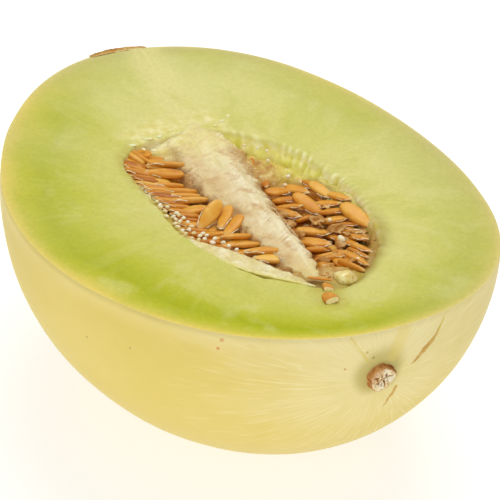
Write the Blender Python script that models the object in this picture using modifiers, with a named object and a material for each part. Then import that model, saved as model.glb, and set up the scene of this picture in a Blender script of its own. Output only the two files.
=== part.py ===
"""Half a honeydew melon, cut lengthwise, lying on its rind with the cut face up.

The stem end points along +X and the cut face is level. The origin is on the
surface that the half rests on, under the middle of its bounding box. The wet
middle is built as it grows: a bowl in the flesh, a spongy wall of pith down
the middle of the bowl, and a packed heap of seeds on each side of the wall.
Meshes are drawn in the cut face's own frame, with Z zero on the cut face
above the melon's centre, and every object is then placed by PLACE.
"""
import math

import bmesh
import bpy
from mathutils import Matrix, Vector

# Driving dimensions, in metres and degrees
LENGTH = 0.170              # blossom pole to stem pole, along the melon's axis
GIRTH_RADIUS = 0.0685       # rind radius at the middle of the length
STEM_FULLNESS = 0.10        # how much fuller the stem half is than the blossom half
SHOULDER = 0.07             # squareness of the shoulders near both poles
SIDE_LEAN = (-0.043, -0.024, 0.106)   # far side against near side, along the length
UPPER_LEAN = (0.087, 0.027)           # upper side against the underside
AXIS_TILT = 4.6             # the stem end dips below level
CUT_ABOVE_AXIS = 0.0083     # the knife passed this far above the axis
CUT_HEIGHT = 0.0698         # cut face above the resting surface
MIDDLE = (-0.0012, 0.0030)  # melon's centre from the origin, in X and Y
SLIP = 0.0003               # gap between touching pieces

# The bowl in the flesh, from its own centre on the cut face; the near side is -Y
BOWL_CENTRE = 0.0149
BOWL_TO_STEM = 0.0478
BOWL_TO_BLOSSOM_NEAR = 0.0422
BOWL_TO_BLOSSOM_FAR = 0.0485
BOWL_NEAR = 0.0306
BOWL_FAR = 0.0292
BOWL_DEPTH = 0.0380
NEAR_CORNER = 0.22          # towards 0 squares the near blossom corner, 1 rounds it

# The pith wall, down the middle of the bowl
PITH_START = -0.0360
PITH_TIP = 0.0540
PITH_HALF_WIDTH = 0.0086
PITH_START_WIDTH = 0.6      # share of the full width where it starts
PITH_WIDEST_AT = 0.38       # share of its length from the blossom end
PITH_OFFSET = -0.0014       # its middle from the melon's centre line, at the start
PITH_BOW = -0.0046          # how far it then swings to the near side
PITH_SAG = 0.0008           # its wet top stands this far below the cut face
PITH_EDGE = 0.0016          # softened upper edge

# The two seed heaps
SEED_LENGTH = 0.0116
SEED_PITCH = 0.0044
SEED_RELIEF = 0.0022
HEAP_DROP_NEAR = 0.0035     # heap's top below the cut face, on the near side
HEAP_DROP_FAR = 0.0085      # and at the far wall, where more of it fell out

# The corky scars at the two poles
STEM_SCAR_RADIUS = 0.0054
STEM_SCAR_PROUD = 0.0032
STEM_SCAR_ROOT = 0.0030
STEM_SCAR_TAPER = 0.9
BLOSSOM_SCAR_RADIUS = 0.0102
BLOSSOM_SCAR_HALF_THICK = 0.0024
BLOSSOM_SCAR_PROUD = 0.0012
BLOSSOM_SCAR_DOME = 0.0012  # how far its edge falls back with the rind
BLOSSOM_SCAR_EDGE = 0.35    # towards 0 its rim is square, 1 is a plain lens
FACET_TURN = 0.1            # radians that keep its facet corners off the rind's

HALF = LENGTH / 2.0
TILT = math.radians(AXIS_TILT)
AXIS = Vector((math.cos(TILT), 0.0, -math.sin(TILT)))
PLACE = Vector((MIDDLE[0], MIDDLE[1], CUT_HEIGHT))
OVERSHOOT = 0.012           # how far cutters run past the faces they cut


def clear_scene():
    """Remove whatever the file holds and return new collections for parts and cutters."""
    for thing in list(bpy.data.objects):
        bpy.data.objects.remove(thing, do_unlink=True)
    parts = bpy.data.collections.new("honeydew_melon_half")
    cutters = bpy.data.collections.new("cutters")
    for group in (parts, cutters):
        bpy.context.scene.collection.children.link(group)
    return parts, cutters


def plain_material(name, colour, roughness):
    material = bpy.data.materials.new(name)
    material.use_nodes = True
    shader = material.node_tree.nodes["Principled BSDF"]
    shader.inputs["Base Color"].default_value = (*colour, 1.0)
    shader.inputs["Roughness"].default_value = roughness
    shader.inputs["Metallic"].default_value = 0.0
    return material


def object_from(body, name, group, material=None):
    """Turn a bmesh into a placed object; without a material it is a cutter."""
    bmesh.ops.recalc_face_normals(body, faces=body.faces)
    if body.calc_volume(signed=True) < 0.0:
        bmesh.ops.reverse_faces(body, faces=body.faces)
    mesh = bpy.data.meshes.new(name)
    body.to_mesh(mesh)
    body.free()
    thing = bpy.data.objects.new(name, mesh)
    thing.location = PLACE
    group.objects.link(thing)
    if material is None:
        thing.hide_render = True
        thing.display_type = "WIRE"
    else:
        mesh.materials.append(material)
    return thing


def boolean(thing, cutter, operation="DIFFERENCE"):
    step = thing.modifiers.new(f"{operation.lower()} {cutter.name}", "BOOLEAN")
    step.operation = operation
    step.solver = "EXACT"
    step.object = cutter


def cut_level(body, height, keep_below):
    """Cut a closed body at a level plane and close it with a flat face."""
    normal = Vector((0.0, 0.0, 1.0 if keep_below else -1.0))
    geometry = body.verts[:] + body.edges[:] + body.faces[:]
    cut = bmesh.ops.bisect_plane(body, geom=geometry, plane_co=(0.0, 0.0, height),
                                 plane_no=normal, clear_outer=True)
    edges = [item for item in cut["geom_cut"] if isinstance(item, bmesh.types.BMEdge)]
    bmesh.ops.holes_fill(body, edges=edges)


def raised(body, faces):
    """Extrude faces and return the new vertices, to be moved to where the solid ends."""
    pulled = bmesh.ops.extrude_face_region(body, geom=faces)
    return [item for item in pulled["geom"] if isinstance(item, bmesh.types.BMVert)]


def smooth_step(low, high, value):
    share = max(0.0, min(1.0, (value - low) / (high - low)))
    return share * share * (3.0 - 2.0 * share)


def rind_point(along, around):
    """A point on the rind; along runs -1..1 to the stem, around turns about the axis."""
    fullness = 1.0 + STEM_FULLNESS * along + SHOULDER * (along ** 4 - 0.2)
    side = SIDE_LEAN[0] + SIDE_LEAN[1] * along + SIDE_LEAN[2] * along ** 2
    upper = UPPER_LEAN[0] + UPPER_LEAN[1] * along
    lean = 1.0 + side * math.cos(around) + upper * math.sin(around)
    ring = GIRTH_RADIUS * math.sqrt(max(0.0, 1.0 - along * along)) * fullness * lean
    point = Vector((HALF * along, ring * math.cos(around), ring * math.sin(around)))
    return Matrix.Rotation(TILT, 3, "Y") @ point - Vector((0.0, 0.0, CUT_ABOVE_AXIS))


def pole(along):
    """Centre of the rind at one end: -1 is the blossom pole, 1 the stem pole."""
    return rind_point(along, 0.0)


def melon_body():
    """The whole melon, cut at the knife's plane and flattened where it rests."""
    body = bmesh.new()
    bmesh.ops.create_uvsphere(body, u_segments=56, v_segments=34, radius=1.0)
    for vert in body.verts:
        x, y, z = vert.co
        vert.co = rind_point(max(-1.0, min(1.0, z)), math.atan2(y, x))
    cut_level(body, 0.0, keep_below=True)
    cut_level(body, -CUT_HEIGHT, keep_below=False)
    return body


def bowl_outline(turn, gap):
    """The bowl's edge on the cut face, from the bowl's centre, drawn in by a gap."""
    cosine, sine = math.cos(turn), math.sin(turn)
    reach, width, power = BOWL_TO_STEM, BOWL_FAR, 1.0
    if sine < 0.0:
        width = BOWL_NEAR
    if cosine < 0.0:
        near = smooth_step(0.0, 0.3, -sine)
        reach = BOWL_TO_BLOSSOM_FAR + (BOWL_TO_BLOSSOM_NEAR - BOWL_TO_BLOSSOM_FAR) * near
        power = NEAR_CORNER if sine < 0.0 else 1.0
    x = math.copysign(abs(cosine) ** power, cosine) * (reach - gap)
    return x, sine * (width - gap)


def bowl_body(gap):
    """The bowl as a solid, drawn in by a gap, running past the cut face."""
    body = bmesh.new()
    bmesh.ops.create_uvsphere(body, u_segments=44, v_segments=24, radius=1.0)
    for vert in body.verts:
        x, y = bowl_outline(math.atan2(vert.co.y, vert.co.x), gap)
        spread = math.hypot(vert.co.x, vert.co.y)
        z = vert.co.z * (BOWL_DEPTH - gap)
        if vert.co.z > 0.0:
            spread = min(1.0, spread * 10.0)
            z = vert.co.z * OVERSHOOT
        vert.co = (BOWL_CENTRE + x * spread, y * spread, z)
    return body


def pith_half_width(share):
    """Half width of the pith wall, by the share of its length from the blossom end."""
    if share < PITH_WIDEST_AT:
        rise = math.sin(0.5 * math.pi * share / PITH_WIDEST_AT)
        return PITH_HALF_WIDTH * (PITH_START_WIDTH + (1.0 - PITH_START_WIDTH) * rise)
    fall = (share - PITH_WIDEST_AT) / (1.0 - PITH_WIDEST_AT)
    return PITH_HALF_WIDTH * max(0.0, 1.0 - fall * fall) ** 0.8


def pith_middle(share):
    """Where the middle of the pith wall runs, in Y."""
    return PITH_OFFSET + PITH_BOW * math.sin(0.5 * math.pi * min(1.0, share / 0.6))


def pith_slab(gap, top):
    """The pith wall's outline on the cut face, pulled down past the bowl's floor."""
    stations = 20
    slab = bmesh.new()
    ring = []
    for side in (1.0, -1.0):
        order = range(stations) if side > 0.0 else range(stations - 1, -1, -1)
        for station in order:
            share = station / (stations - 1)
            x = PITH_START + (PITH_TIP - PITH_START + gap) * share
            half = pith_half_width(share) + gap + SLIP
            ring.append(slab.verts.new((x, pith_middle(share) + side * half, top)))
    face = slab.faces.new(ring)
    for vert in raised(slab, [face]):
        vert.co.z = -BOWL_DEPTH - OVERSHOOT
    return slab


def heap_level(x, y):
    """Height of a seed heap: a slope with the domed backs of the seeds on it."""
    drop = HEAP_DROP_NEAR + (HEAP_DROP_FAR - HEAP_DROP_NEAR) * smooth_step(0.0, 0.022, y)
    row = x / SEED_PITCH + 0.3 * math.sin(y / 0.006)
    domed = abs(math.sin(math.pi * row)) ** 0.7
    across = abs(math.sin(math.pi * (y / SEED_LENGTH + 0.2 * math.sin(row)))) ** 0.4
    return -drop - SEED_RELIEF * (1.0 - domed * across)


def air_above_heaps():
    """Everything above the seed heaps, as one block with a seed-bumped underside."""
    air = bmesh.new()
    bmesh.ops.create_grid(air, x_segments=52, y_segments=34, size=0.5)
    margin = 0.004
    length = BOWL_TO_STEM + BOWL_TO_BLOSSOM_FAR + 2.0 * margin
    width = 2.0 * (BOWL_NEAR + margin)
    for vert in air.verts:
        x = BOWL_CENTRE + vert.co.x * length
        y = vert.co.y * width
        vert.co = (x, y, heap_level(x, y))
    for vert in raised(air, air.faces[:]):
        vert.co.z = 2.0 * OVERSHOOT
    return air


def side_block(side):
    """A block over one side of the bowl, up to the middle of the pith wall."""
    block = bmesh.new()
    bmesh.ops.create_cube(block, size=1.0)
    middle = pith_middle(0.5)
    for vert in block.verts:
        vert.co.x = BOWL_CENTRE + vert.co.x * 3.0 * BOWL_TO_STEM
        vert.co.y = middle + side * (vert.co.y + 0.5) * 2.0 * BOWL_NEAR
        vert.co.z = (vert.co.z - 0.2) * 3.0 * BOWL_DEPTH
    return block


def place_on_axis(thing, along, offset):
    """Stand a piece drawn on Z on the melon's own axis, offset outwards from a pole."""
    thing.rotation_euler = AXIS.to_track_quat("Z", "Y").to_euler()
    thing.location = PLACE + pole(along) + AXIS * offset


def stem_plug(gap, name, group, material=None):
    """The corky plug where the stem came away, seated in the rind along the axis."""
    plug = bmesh.new()
    bmesh.ops.create_cone(plug, cap_ends=True, segments=22, radius1=STEM_SCAR_RADIUS + gap,
                          radius2=STEM_SCAR_RADIUS * STEM_SCAR_TAPER + gap,
                          depth=STEM_SCAR_ROOT + STEM_SCAR_PROUD + gap)
    thing = object_from(plug, name, group, material)
    place_on_axis(thing, 1.0, (STEM_SCAR_PROUD - STEM_SCAR_ROOT - gap) / 2.0)
    return thing


def star_hollow(cutters):
    """The sunken middle of the stem scar, with five blunt points."""
    points = 5
    hollow = bmesh.new()
    bmesh.ops.create_cone(hollow, cap_ends=True, segments=4 * points, radius1=0.0003,
                          radius2=STEM_SCAR_RADIUS * 0.55, depth=0.004)
    for vert in hollow.verts:
        pull = 0.8 + 0.2 * math.cos(points * math.atan2(vert.co.y, vert.co.x))
        vert.co.x *= pull
        vert.co.y *= pull
    thing = object_from(hollow, "stem_scar_hollow", cutters)
    place_on_axis(thing, 1.0, STEM_SCAR_PROUD)
    return thing


def blossom_patch(gap):
    """The corky patch at the blossom pole: a domed disc set into the rind."""
    patch = bmesh.new()
    bmesh.ops.create_uvsphere(patch, u_segments=24, v_segments=12, radius=1.0)
    turn = AXIS.to_track_quat("Z", "Y").to_matrix() @ Matrix.Rotation(FACET_TURN, 3, "Z")
    centre = pole(-1.0) + AXIS * (BLOSSOM_SCAR_HALF_THICK - BLOSSOM_SCAR_PROUD)
    for vert in patch.verts:
        spread = math.hypot(vert.co.x, vert.co.y)
        out = spread ** BLOSSOM_SCAR_EDGE
        widen = (BLOSSOM_SCAR_RADIUS + gap) * out / max(spread, 1e-6)
        height = math.copysign(abs(vert.co.z) ** 0.5, vert.co.z)
        deep = height * (BLOSSOM_SCAR_HALF_THICK + gap) + BLOSSOM_SCAR_DOME * out * out
        vert.co = centre + turn @ Vector((vert.co.x * widen, vert.co.y * widen, deep))
    return patch


def build():
    parts, cutters = clear_scene()
    flesh_look = plain_material("flesh", (0.62, 0.60, 0.16), 0.35)
    pith_look = plain_material("pith", (0.72, 0.66, 0.42), 0.30)
    seed_look = plain_material("seed", (0.68, 0.36, 0.08), 0.30)
    cork_look = plain_material("cork", (0.48, 0.36, 0.19), 0.85)

    flesh = object_from(melon_body(), "melon_flesh", parts, flesh_look)
    boolean(flesh, object_from(bowl_body(0.0), "bowl", cutters))
    boolean(flesh, stem_plug(SLIP, "stem_scar_socket", cutters))
    boolean(flesh, object_from(blossom_patch(SLIP), "blossom_scar_socket", cutters))

    pith = object_from(pith_slab(0.0, -PITH_SAG), "pith", parts, pith_look)
    softened = pith.modifiers.new("softened upper edge", "BEVEL")
    softened.width = PITH_EDGE
    softened.segments = 2
    softened.limit_method = "ANGLE"
    softened.angle_limit = math.radians(60.0)
    boolean(pith, object_from(bowl_body(SLIP), "inner_bowl", cutters), "INTERSECT")

    pith_slot = object_from(pith_slab(SLIP, OVERSHOOT), "pith_slot", cutters)
    air = object_from(air_above_heaps(), "air_above_heaps", cutters)
    for name, other_side in (("seeds_near", 1.0), ("seeds_far", -1.0)):
        heap = object_from(bowl_body(SLIP), name, parts, seed_look)
        boolean(heap, object_from(side_block(other_side), f"beside_{name}", cutters))
        boolean(heap, pith_slot)
        boolean(heap, air)

    boolean(stem_plug(0.0, "stem_scar", parts, cork_look), star_hollow(cutters))

    patch = blossom_patch(0.0)
    cut_level(patch, 0.0, keep_below=True)
    object_from(patch, "blossom_scar", parts, cork_look)


build()
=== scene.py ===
"""Looks of a honeydew melon half: cut face up, with its pith and seeds in place.

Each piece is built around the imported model, in metres and in its frame. Places on
the melon are given in millimetres from the melon's centre on the cut face, with X
towards the stem end, Y towards the far side and Z up out of the cut.
"""

import math
import random

import bpy
import numpy as np
from mathutils import Matrix, Vector, noise


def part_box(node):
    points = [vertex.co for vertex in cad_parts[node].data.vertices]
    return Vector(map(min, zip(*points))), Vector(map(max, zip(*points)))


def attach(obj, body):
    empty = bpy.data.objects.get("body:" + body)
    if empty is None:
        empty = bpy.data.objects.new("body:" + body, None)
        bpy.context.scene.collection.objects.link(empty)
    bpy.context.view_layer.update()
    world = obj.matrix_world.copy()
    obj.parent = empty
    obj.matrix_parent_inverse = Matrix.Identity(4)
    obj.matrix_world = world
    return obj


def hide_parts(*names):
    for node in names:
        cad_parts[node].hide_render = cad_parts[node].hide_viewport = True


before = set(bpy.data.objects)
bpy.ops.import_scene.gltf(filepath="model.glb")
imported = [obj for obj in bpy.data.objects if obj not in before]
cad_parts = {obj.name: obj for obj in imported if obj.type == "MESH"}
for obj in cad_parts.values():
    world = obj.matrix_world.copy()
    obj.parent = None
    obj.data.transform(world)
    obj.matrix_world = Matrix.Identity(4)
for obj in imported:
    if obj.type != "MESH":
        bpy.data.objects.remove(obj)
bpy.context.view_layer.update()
bpy.ops.object.select_all(action="DESELECT")

# ---------------------------------------------------------------------------
# Flesh and rind. The thick wall of a ripe honeydew, split with one knife stroke:
# wet green flesh that pales towards the seed bowl, under a thin smooth rind.
# One closed skin: rind, cut face, then the torn wall of the bowl.
# ---------------------------------------------------------------------------
MM = 0.001
CUT_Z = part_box("melon_flesh")[1][2]
CENTRE = Vector((-1.2 * MM, 3.0 * MM, CUT_Z))

HALF_LENGTH = 85.0          # millimetres, as all sizes of the melon from here on
GIRTH_RADIUS = 68.5
AXIS_TILT = math.radians(4.6)
CUT_ABOVE_AXIS = 8.3
REST_DEPTH = CUT_Z / MM     # the resting surface, below the cut face
STEM_POLE = Vector((84.7, 0.0, -15.1))

BOWL_X = 14.9
BOWL_CENTRE = np.array([BOWL_X, 0.0, 0.0])
BOWL_DEPTH = 38.0
# How far the bowl's plain oval runs from its centre, on its far and its near side
FAR_TO_BLOSSOM, FAR_TO_STEM, FAR_WIDTH = 48.5, 47.8, 29.2
NEAR_TO_BLOSSOM, NEAR_TO_STEM, NEAR_WIDTH = 42.2, 45.2, 30.6
BLUNTNESS = 7.0             # power of the oval at its blunt near blossom corner
SPOKES = 400                # vertices round the melon
RIND_RINGS = 112
RIND_SWELL = 0.22           # how far the rind swells and sinks over its broad lumps
STEM_DIP = 0.5              # how far it sinks round the stem
RIM_STEPS = (0.25, 0.7, 1.3, 2.1, 3.1, 4.4, 6.0)
FACE_STEPS = 24
EDGE_STEPS = (3.2, 2.4, 1.8, 1.3, 0.9, 0.6, 0.35, 0.15, 0.0)
WALL_STEPS = 34
RIB_SPACING = 3.0           # round the bowl's edge
ARC_PER_DEGREE = 0.60       # length of that edge for each degree, about
RIB_HEIGHT = 0.75
LOBE_HEIGHT = 1.3           # of the torn lobes between the ribs
ZONE_SPAN = 25.0            # millimetres of rind distance that its attribute spans
BAND_SPAN = 4.0             # green band depths that its attribute spans
HALVINGS = 34               # steps of each search for a surface
# Round the bowl's centre, in degrees: how deep the greenest line lies, and how green it is
GREEN_BAND = (
    (0, 4.5, 0.90), (15, 5.0, 0.55), (30, 6.5, 0.42), (45, 9.5, 0.46), (60, 10.0, 0.34),
    (80, 9.0, 0.14), (100, 9.0, 0.10), (120, 14.0, 0.25), (138, 17.0, 0.42), (155, 14.0, 0.10),
    (180, 14.0, 0.0), (195, 15.0, 0.22), (210, 16.0, 0.72), (225, 15.0, 0.50), (240, 12.0, 0.82),
    (255, 11.0, 0.76), (270, 8.5, 0.76), (285, 10.5, 0.92), (300, 9.5, 0.95), (315, 7.5, 1.0),
    (330, 5.5, 1.0), (345, 4.5, 1.0), (360, 4.5, 0.90))
# Round the bowl's centre, in degrees: radius of its worn edge, inward lean of its wall, and
# how strongly the wall is ribbed
BOWL_EDGE = (
    (0, 3.4, 3.4, 0.1), (20, 3.0, 3.4, 0.1), (45, 2.8, 3.6, 0.15), (62, 2.8, 4.0, 0.3),
    (80, 2.6, 4.4, 0.6), (95, 2.4, 4.6, 1.0), (120, 2.2, 4.6, 1.0), (145, 2.2, 4.0, 1.0),
    (160, 1.6, 3.0, 0.6), (174, 0.8, 2.0, 0.0), (184, 0.6, 2.0, 0.0), (197, 1.5, 2.6, 0.1),
    (212, 1.0, 1.4, 0.2), (228, 0.8, 1.2, 0.3), (245, 0.6, 1.0, 0.2), (290, 0.5, 0.8, 0.2),
    (320, 0.4, 0.8, 0.1), (345, 1.6, 2.0, 0.05), (360, 3.4, 3.4, 0.1))
# Round the bowl's centre, in degrees: how far its edge keeps inside its plain oval
BOWL_INSET = (
    (0, 1.7), (16, 3.2), (30, 1.8), (45, 1.4), (62, 1.5), (80, 1.6), (95, 2.2), (112, 3.8),
    (125, 3.8), (135, 4.2), (145, 4.8), (153, 6.2), (162, 7.6), (174, 6.6), (186, 2.6),
    (197, -0.4), (207, -1.0), (222, -1.0), (240, 0.0), (335, 0.0), (350, 0.6), (360, 1.7))


def at(x, y, z=0.0):
    """A place in millimetres from the melon's centre on the cut face, in the frame."""
    return CENTRE + Vector((x, y, z)) * MM


def smooth(low, high, value):
    share = np.clip((value - low) / (high - low), 0.0, 1.0)
    return share * share * (3.0 - 2.0 * share)


def inside_rind(points):
    """Whether points, in millimetres, lie inside the uncut melon."""
    x, y, z = points.T
    z = z + CUT_ABOVE_AXIS
    along = (math.cos(AXIS_TILT) * x - math.sin(AXIS_TILT) * z) / HALF_LENGTH
    up = math.sin(AXIS_TILT) * x + math.cos(AXIS_TILT) * z
    around = np.arctan2(up, y)
    held = np.clip(along, -1.0, 1.0)
    fullness = 1.0 + 0.10 * held + 0.07 * (held ** 4 - 0.2)
    side = (-0.043 - 0.024 * held + 0.106 * held ** 2) * np.cos(around)
    upper = (0.087 + 0.027 * held) * np.sin(around)
    ring = GIRTH_RADIUS * np.sqrt(1.0 - held ** 2) * fullness * (1.0 + side + upper)
    return (np.abs(along) < 1.0) & (np.hypot(y, up) < ring)


def rind_reach(start, ways):
    """How far each way runs, in millimetres, from a start inside the melon to the rind."""
    low = np.zeros(len(ways))
    high = np.full(len(ways), 2.0 * HALF_LENGTH)
    for _ in range(HALVINGS):
        middle = (low + high) / 2.0
        within = inside_rind(start + ways * middle[:, None])
        low = np.where(within, middle, low)
        high = np.where(within, high, middle)
    return low


def round_table(angle, rows):
    """Columns of a table given by degrees round the bowl, eased between its rows."""
    table = np.array(rows, dtype=float)
    fine = np.arange(-40.0, 401.0)
    kernel = np.hanning(15) / np.hanning(15).sum()
    degrees = np.degrees(angle) % 360.0
    columns = []
    for column in table[:, 1:].T:
        values = np.interp(fine % 360.0, table[:, 0], column)
        columns.append(np.interp(degrees, fine, np.convolve(values, kernel, mode="same")))
    return columns


def bowl_reach(angle):
    """The bowl's edge from its centre: round at the stem, blunt at the near blossom corner."""
    c, s = np.cos(angle), np.sin(angle)
    near = smooth(0.0, 0.3, -s)
    blossom = FAR_TO_BLOSSOM + (NEAR_TO_BLOSSOM - FAR_TO_BLOSSOM) * near
    stem = FAR_TO_STEM + (NEAR_TO_STEM - FAR_TO_STEM) * near
    long = np.where(c > 0.0, stem, blossom)
    wide = np.where(s > 0.0, FAR_WIDTH, NEAR_WIDTH)
    power = np.where((c > 0.0) | (s > 0.0), 2.0, BLUNTNESS)
    low, high = np.zeros_like(c), np.full_like(c, 70.0)
    for _ in range(HALVINGS):
        middle = (low + high) / 2.0
        beyond = (np.abs(c) * middle / long) ** power + (np.abs(s) * middle / wide) ** 2 > 1.0
        low, high = np.where(beyond, low, middle), np.where(beyond, middle, high)
    ragged = 0.30 * np.sin(9.0 * angle + 1.0) + 0.20 * np.sin(23.0 * angle)
    inset, = round_table(angle, BOWL_INSET)
    return low - inset + ragged + 0.15 * np.sin(41.0 * angle + 2.0)


def lumps(x, y, z, size, seed=0.0):
    """Smooth lumps from -1 to 1 at points in millimetres, about one size apart."""
    return np.array([noise.noise(Vector((a / size + seed, b / size, c / size)))
                     for a, b, c in zip(x, y, z)])


def unit(ways):
    return ways / np.linalg.norm(ways, axis=1)[:, None]


def rind_places(ways):
    """Where ways out from the bowl's centre meet the rind, which is faintly uneven."""
    reach = rind_reach(BOWL_CENTRE, ways)
    reach = np.minimum(reach, REST_DEPTH / np.maximum(1e-6, -ways[:, 2]))
    places = BOWL_CENTRE + ways * reach[:, None]
    to_stem = np.linalg.norm(places - np.array(STEM_POLE), axis=1)
    free = smooth(0.0, 8.0, places[:, 2] + REST_DEPTH)
    swell = RIND_SWELL * lumps(*places.T, 21.0) - STEM_DIP * np.exp(-(to_stem / 7.0) ** 2)
    return places + ways * (swell * free)[:, None]


def raw_points(piece):
    """A piece's vertices as its mesh holds them, in metres."""
    flat = np.empty(len(piece.data.vertices) * 3)
    piece.data.vertices.foreach_get("co", flat)
    return flat.reshape(-1, 3)


def put_points(piece, points):
    piece.data.vertices.foreach_set("co", points.ravel())


def read_points(piece):
    """A piece's vertices in millimetres from the melon's centre on the cut face."""
    return (raw_points(piece) - np.array(CENTRE)) / MM


def write_points(piece, points):
    put_points(piece, points * MM + np.array(CENTRE))
    piece.data.update()


def point_values(piece, **values):
    """Store numbers for each vertex under their names, for a material to read."""
    for name, numbers in values.items():
        layer = piece.data.attributes.new(name, "FLOAT", "POINT")
        layer.data.foreach_set("value", np.asarray(numbers, dtype=float))


def finish_piece(piece, material, slot, *nodes):
    """Smooth-shade a piece, give it its material, and fix it to the melon."""
    piece.data.materials.clear()
    piece.data.materials.append(material)
    piece.data.polygons.foreach_set("use_smooth", [True] * len(piece.data.polygons))
    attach(piece, "root")
    if nodes:
        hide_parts(*nodes)
    piece.select_set(False)


def only(piece):
    """Make a piece the one that is selected and worked on."""
    bpy.ops.object.select_all(action="DESELECT")
    piece.select_set(True)
    bpy.context.view_layer.objects.active = piece


def new_primitive(adder, name, **settings):
    """Add a primitive on its own, with its place already in its mesh."""
    bpy.ops.object.select_all(action="DESELECT")
    adder(**settings)
    piece = bpy.context.object
    piece.name = name
    bpy.ops.object.transform_apply(location=True, rotation=True, scale=True)
    return piece


flesh = new_primitive(bpy.ops.mesh.primitive_uv_sphere_add, "flesh_and_rind", segments=SPOKES,
                      ring_count=RIND_RINGS, radius=30.0 * MM, location=at(BOWL_X, 0.0))
bpy.ops.object.mode_set(mode="EDIT")
bpy.ops.mesh.select_all(action="SELECT")
bpy.ops.mesh.bisect(plane_co=at(0.0, 0.0), plane_no=(0.0, 0.0, 1.0), clear_outer=True)
bpy.ops.object.mode_set(mode="OBJECT")
rind_count = len(flesh.data.vertices)
bpy.ops.object.mode_set(mode="EDIT")
bpy.ops.mesh.select_mode(type="EDGE")
bpy.ops.mesh.select_all(action="DESELECT")
bpy.ops.mesh.select_non_manifold()
for _ in range(len(RIM_STEPS) + FACE_STEPS + len(EDGE_STEPS) + WALL_STEPS):
    bpy.ops.mesh.extrude_region_move(TRANSFORM_OT_translate={"value": (0.0, 0.0, 0.0)})
bpy.ops.mesh.merge(type="CENTER")
bpy.ops.object.mode_set(mode="OBJECT")

points = read_points(flesh)
offset = points - BOWL_CENTRE
angle = np.arctan2(offset[:, 1], offset[:, 0])
level_ways = np.stack([np.cos(angle), np.sin(angle), np.zeros_like(angle)], 1)
from_rind, in_band, on_rib, inward, on_skin = np.zeros((5, len(points)))

# The rind: every vertex is pushed out along its own way from the bowl's centre.
rind = slice(0, rind_count)
ways = unit(offset[rind])
points[rind] = rind_places(ways)
on_skin[rind] = 1.0

# The cut face and the bowl's wall, ring by ring from the rim inwards.
ring_angle = angle[rind_count:rind_count + SPOKES]
ring_ways = level_ways[rind_count:rind_count + SPOKES]
rim = rind_reach(BOWL_CENTRE, ring_ways)
edge = bowl_reach(ring_angle)
worn, lean, ribbed = round_table(ring_angle, BOWL_EDGE)
band_depth, _ = round_table(ring_angle, GREEN_BAND)
arc = np.degrees(ring_angle) % 360.0 * ARC_PER_DEGREE
ribs = np.sin(2.0 * math.pi * arc / RIB_SPACING + 2.4 * np.sin(arc / 4.1)
              + 1.5 * np.sin(arc / 2.3 + 1.0))
rib_share = ribbed * np.clip(0.75 + 0.5 * np.sin(arc / 2.9) + 0.4 * np.sin(arc / 1.3), 0.15, 1.0)
schedule = [("face", rim - step) for step in RIM_STEPS]
last = rim - RIM_STEPS[-1]
first = edge + EDGE_STEPS[0]
schedule += [("face", last + (first - last) * (k + 1) / (FACE_STEPS + 1)) for k in range(FACE_STEPS)]
schedule += [("edge", edge + step) for step in EDGE_STEPS]
schedule += [("wall", 0.25 + (BOWL_DEPTH - 0.8) * ((k + 1) / WALL_STEPS) ** 2.0)
             for k in range(WALL_STEPS)]
for index, (kind, size) in enumerate(schedule[:-1]):
    ring = slice(rind_count + index * SPOKES, rind_count + (index + 1) * SPOKES)
    if kind == "wall":
        waist = np.sqrt(np.maximum(0.0, 1.0 - (size / BOWL_DEPTH) ** 2))
        wear = smooth(-0.4, 0.8, size) * (1.0 - smooth(2.4, 5.6, size))
        wall_lumps = lumps(*(ring_ways * edge[:, None]).T[:2], np.full(SPOKES, size), 2.3, 71.0)
        spread = edge * waist - lean * smooth(-1.0, 6.0, size) + lean * smooth(-1.0, 6.0, 0.0)
        spread = spread + rib_share * wear * RIB_HEIGHT * ribs
        lumpy = LOBE_HEIGHT * ribbed * smooth(0.0, 2.0, size) * (1.0 - smooth(8.0, 16.0, size))
        spread = spread + lumpy * wall_lumps
        depth = -size - worn
        inward[ring] = 1.0
        on_rib[ring] = rib_share * smooth(-0.3, 0.9, -ribs) * (1.0 - smooth(1.8, 5.2, size))
        rind_gap = rim - edge
    else:
        gap = np.maximum(0.0, worn - (size - edge))
        depth = -(worn - np.sqrt(np.maximum(0.0, worn ** 2 - gap ** 2)))
        spread = size + 0.35 * rib_share * ribs * smooth(2.4, 0.0, size - edge)
        on_rib[ring] = 0.8 * rib_share * smooth(-0.5, 0.9, -ribs) * smooth(3.0, 0.8, size - edge)
        inward[ring] = (rim - size) / (rim - edge)
        rind_gap = rim - size
    from_rind[ring] = rind_gap / ZONE_SPAN
    in_band[ring] = rind_gap / band_depth / BAND_SPAN
    points[ring] = BOWL_CENTRE + ring_ways * spread[:, None]
    points[ring, 2] = depth
tail = slice(rind_count + (len(schedule) - 1) * SPOKES, len(points))
points[tail] = (BOWL_X, 0.0, -BOWL_DEPTH)
inward[tail] = 1.0
from_rind[tail] = 1.0
in_band[tail] = 1.0

face = slice(rind_count, rind_count + (len(schedule) - WALL_STEPS) * SPOKES)
points[face, 2] += 0.10 * lumps(*points[face].T, 9.0, 3.0) + 0.05 * lumps(*points[face].T, 2.6, 5.0) - 0.06
write_points(flesh, points)

_, greenness = round_table(angle, GREEN_BAND)
point_values(flesh, from_rind=from_rind, in_band=np.clip(in_band, 0.0, 1.0), inward=inward,
             rib=on_rib, skin=on_skin, greenness=greenness)


def colour(red, green, blue):
    """A colour on a 0 to 255 scale, as the shader wants it."""
    def straight(part):
        part = part / 255.0
        return part / 12.92 if part <= 0.04045 else ((part + 0.055) / 1.055) ** 2.4
    return (straight(red), straight(green), straight(blue), 1.0)


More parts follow.
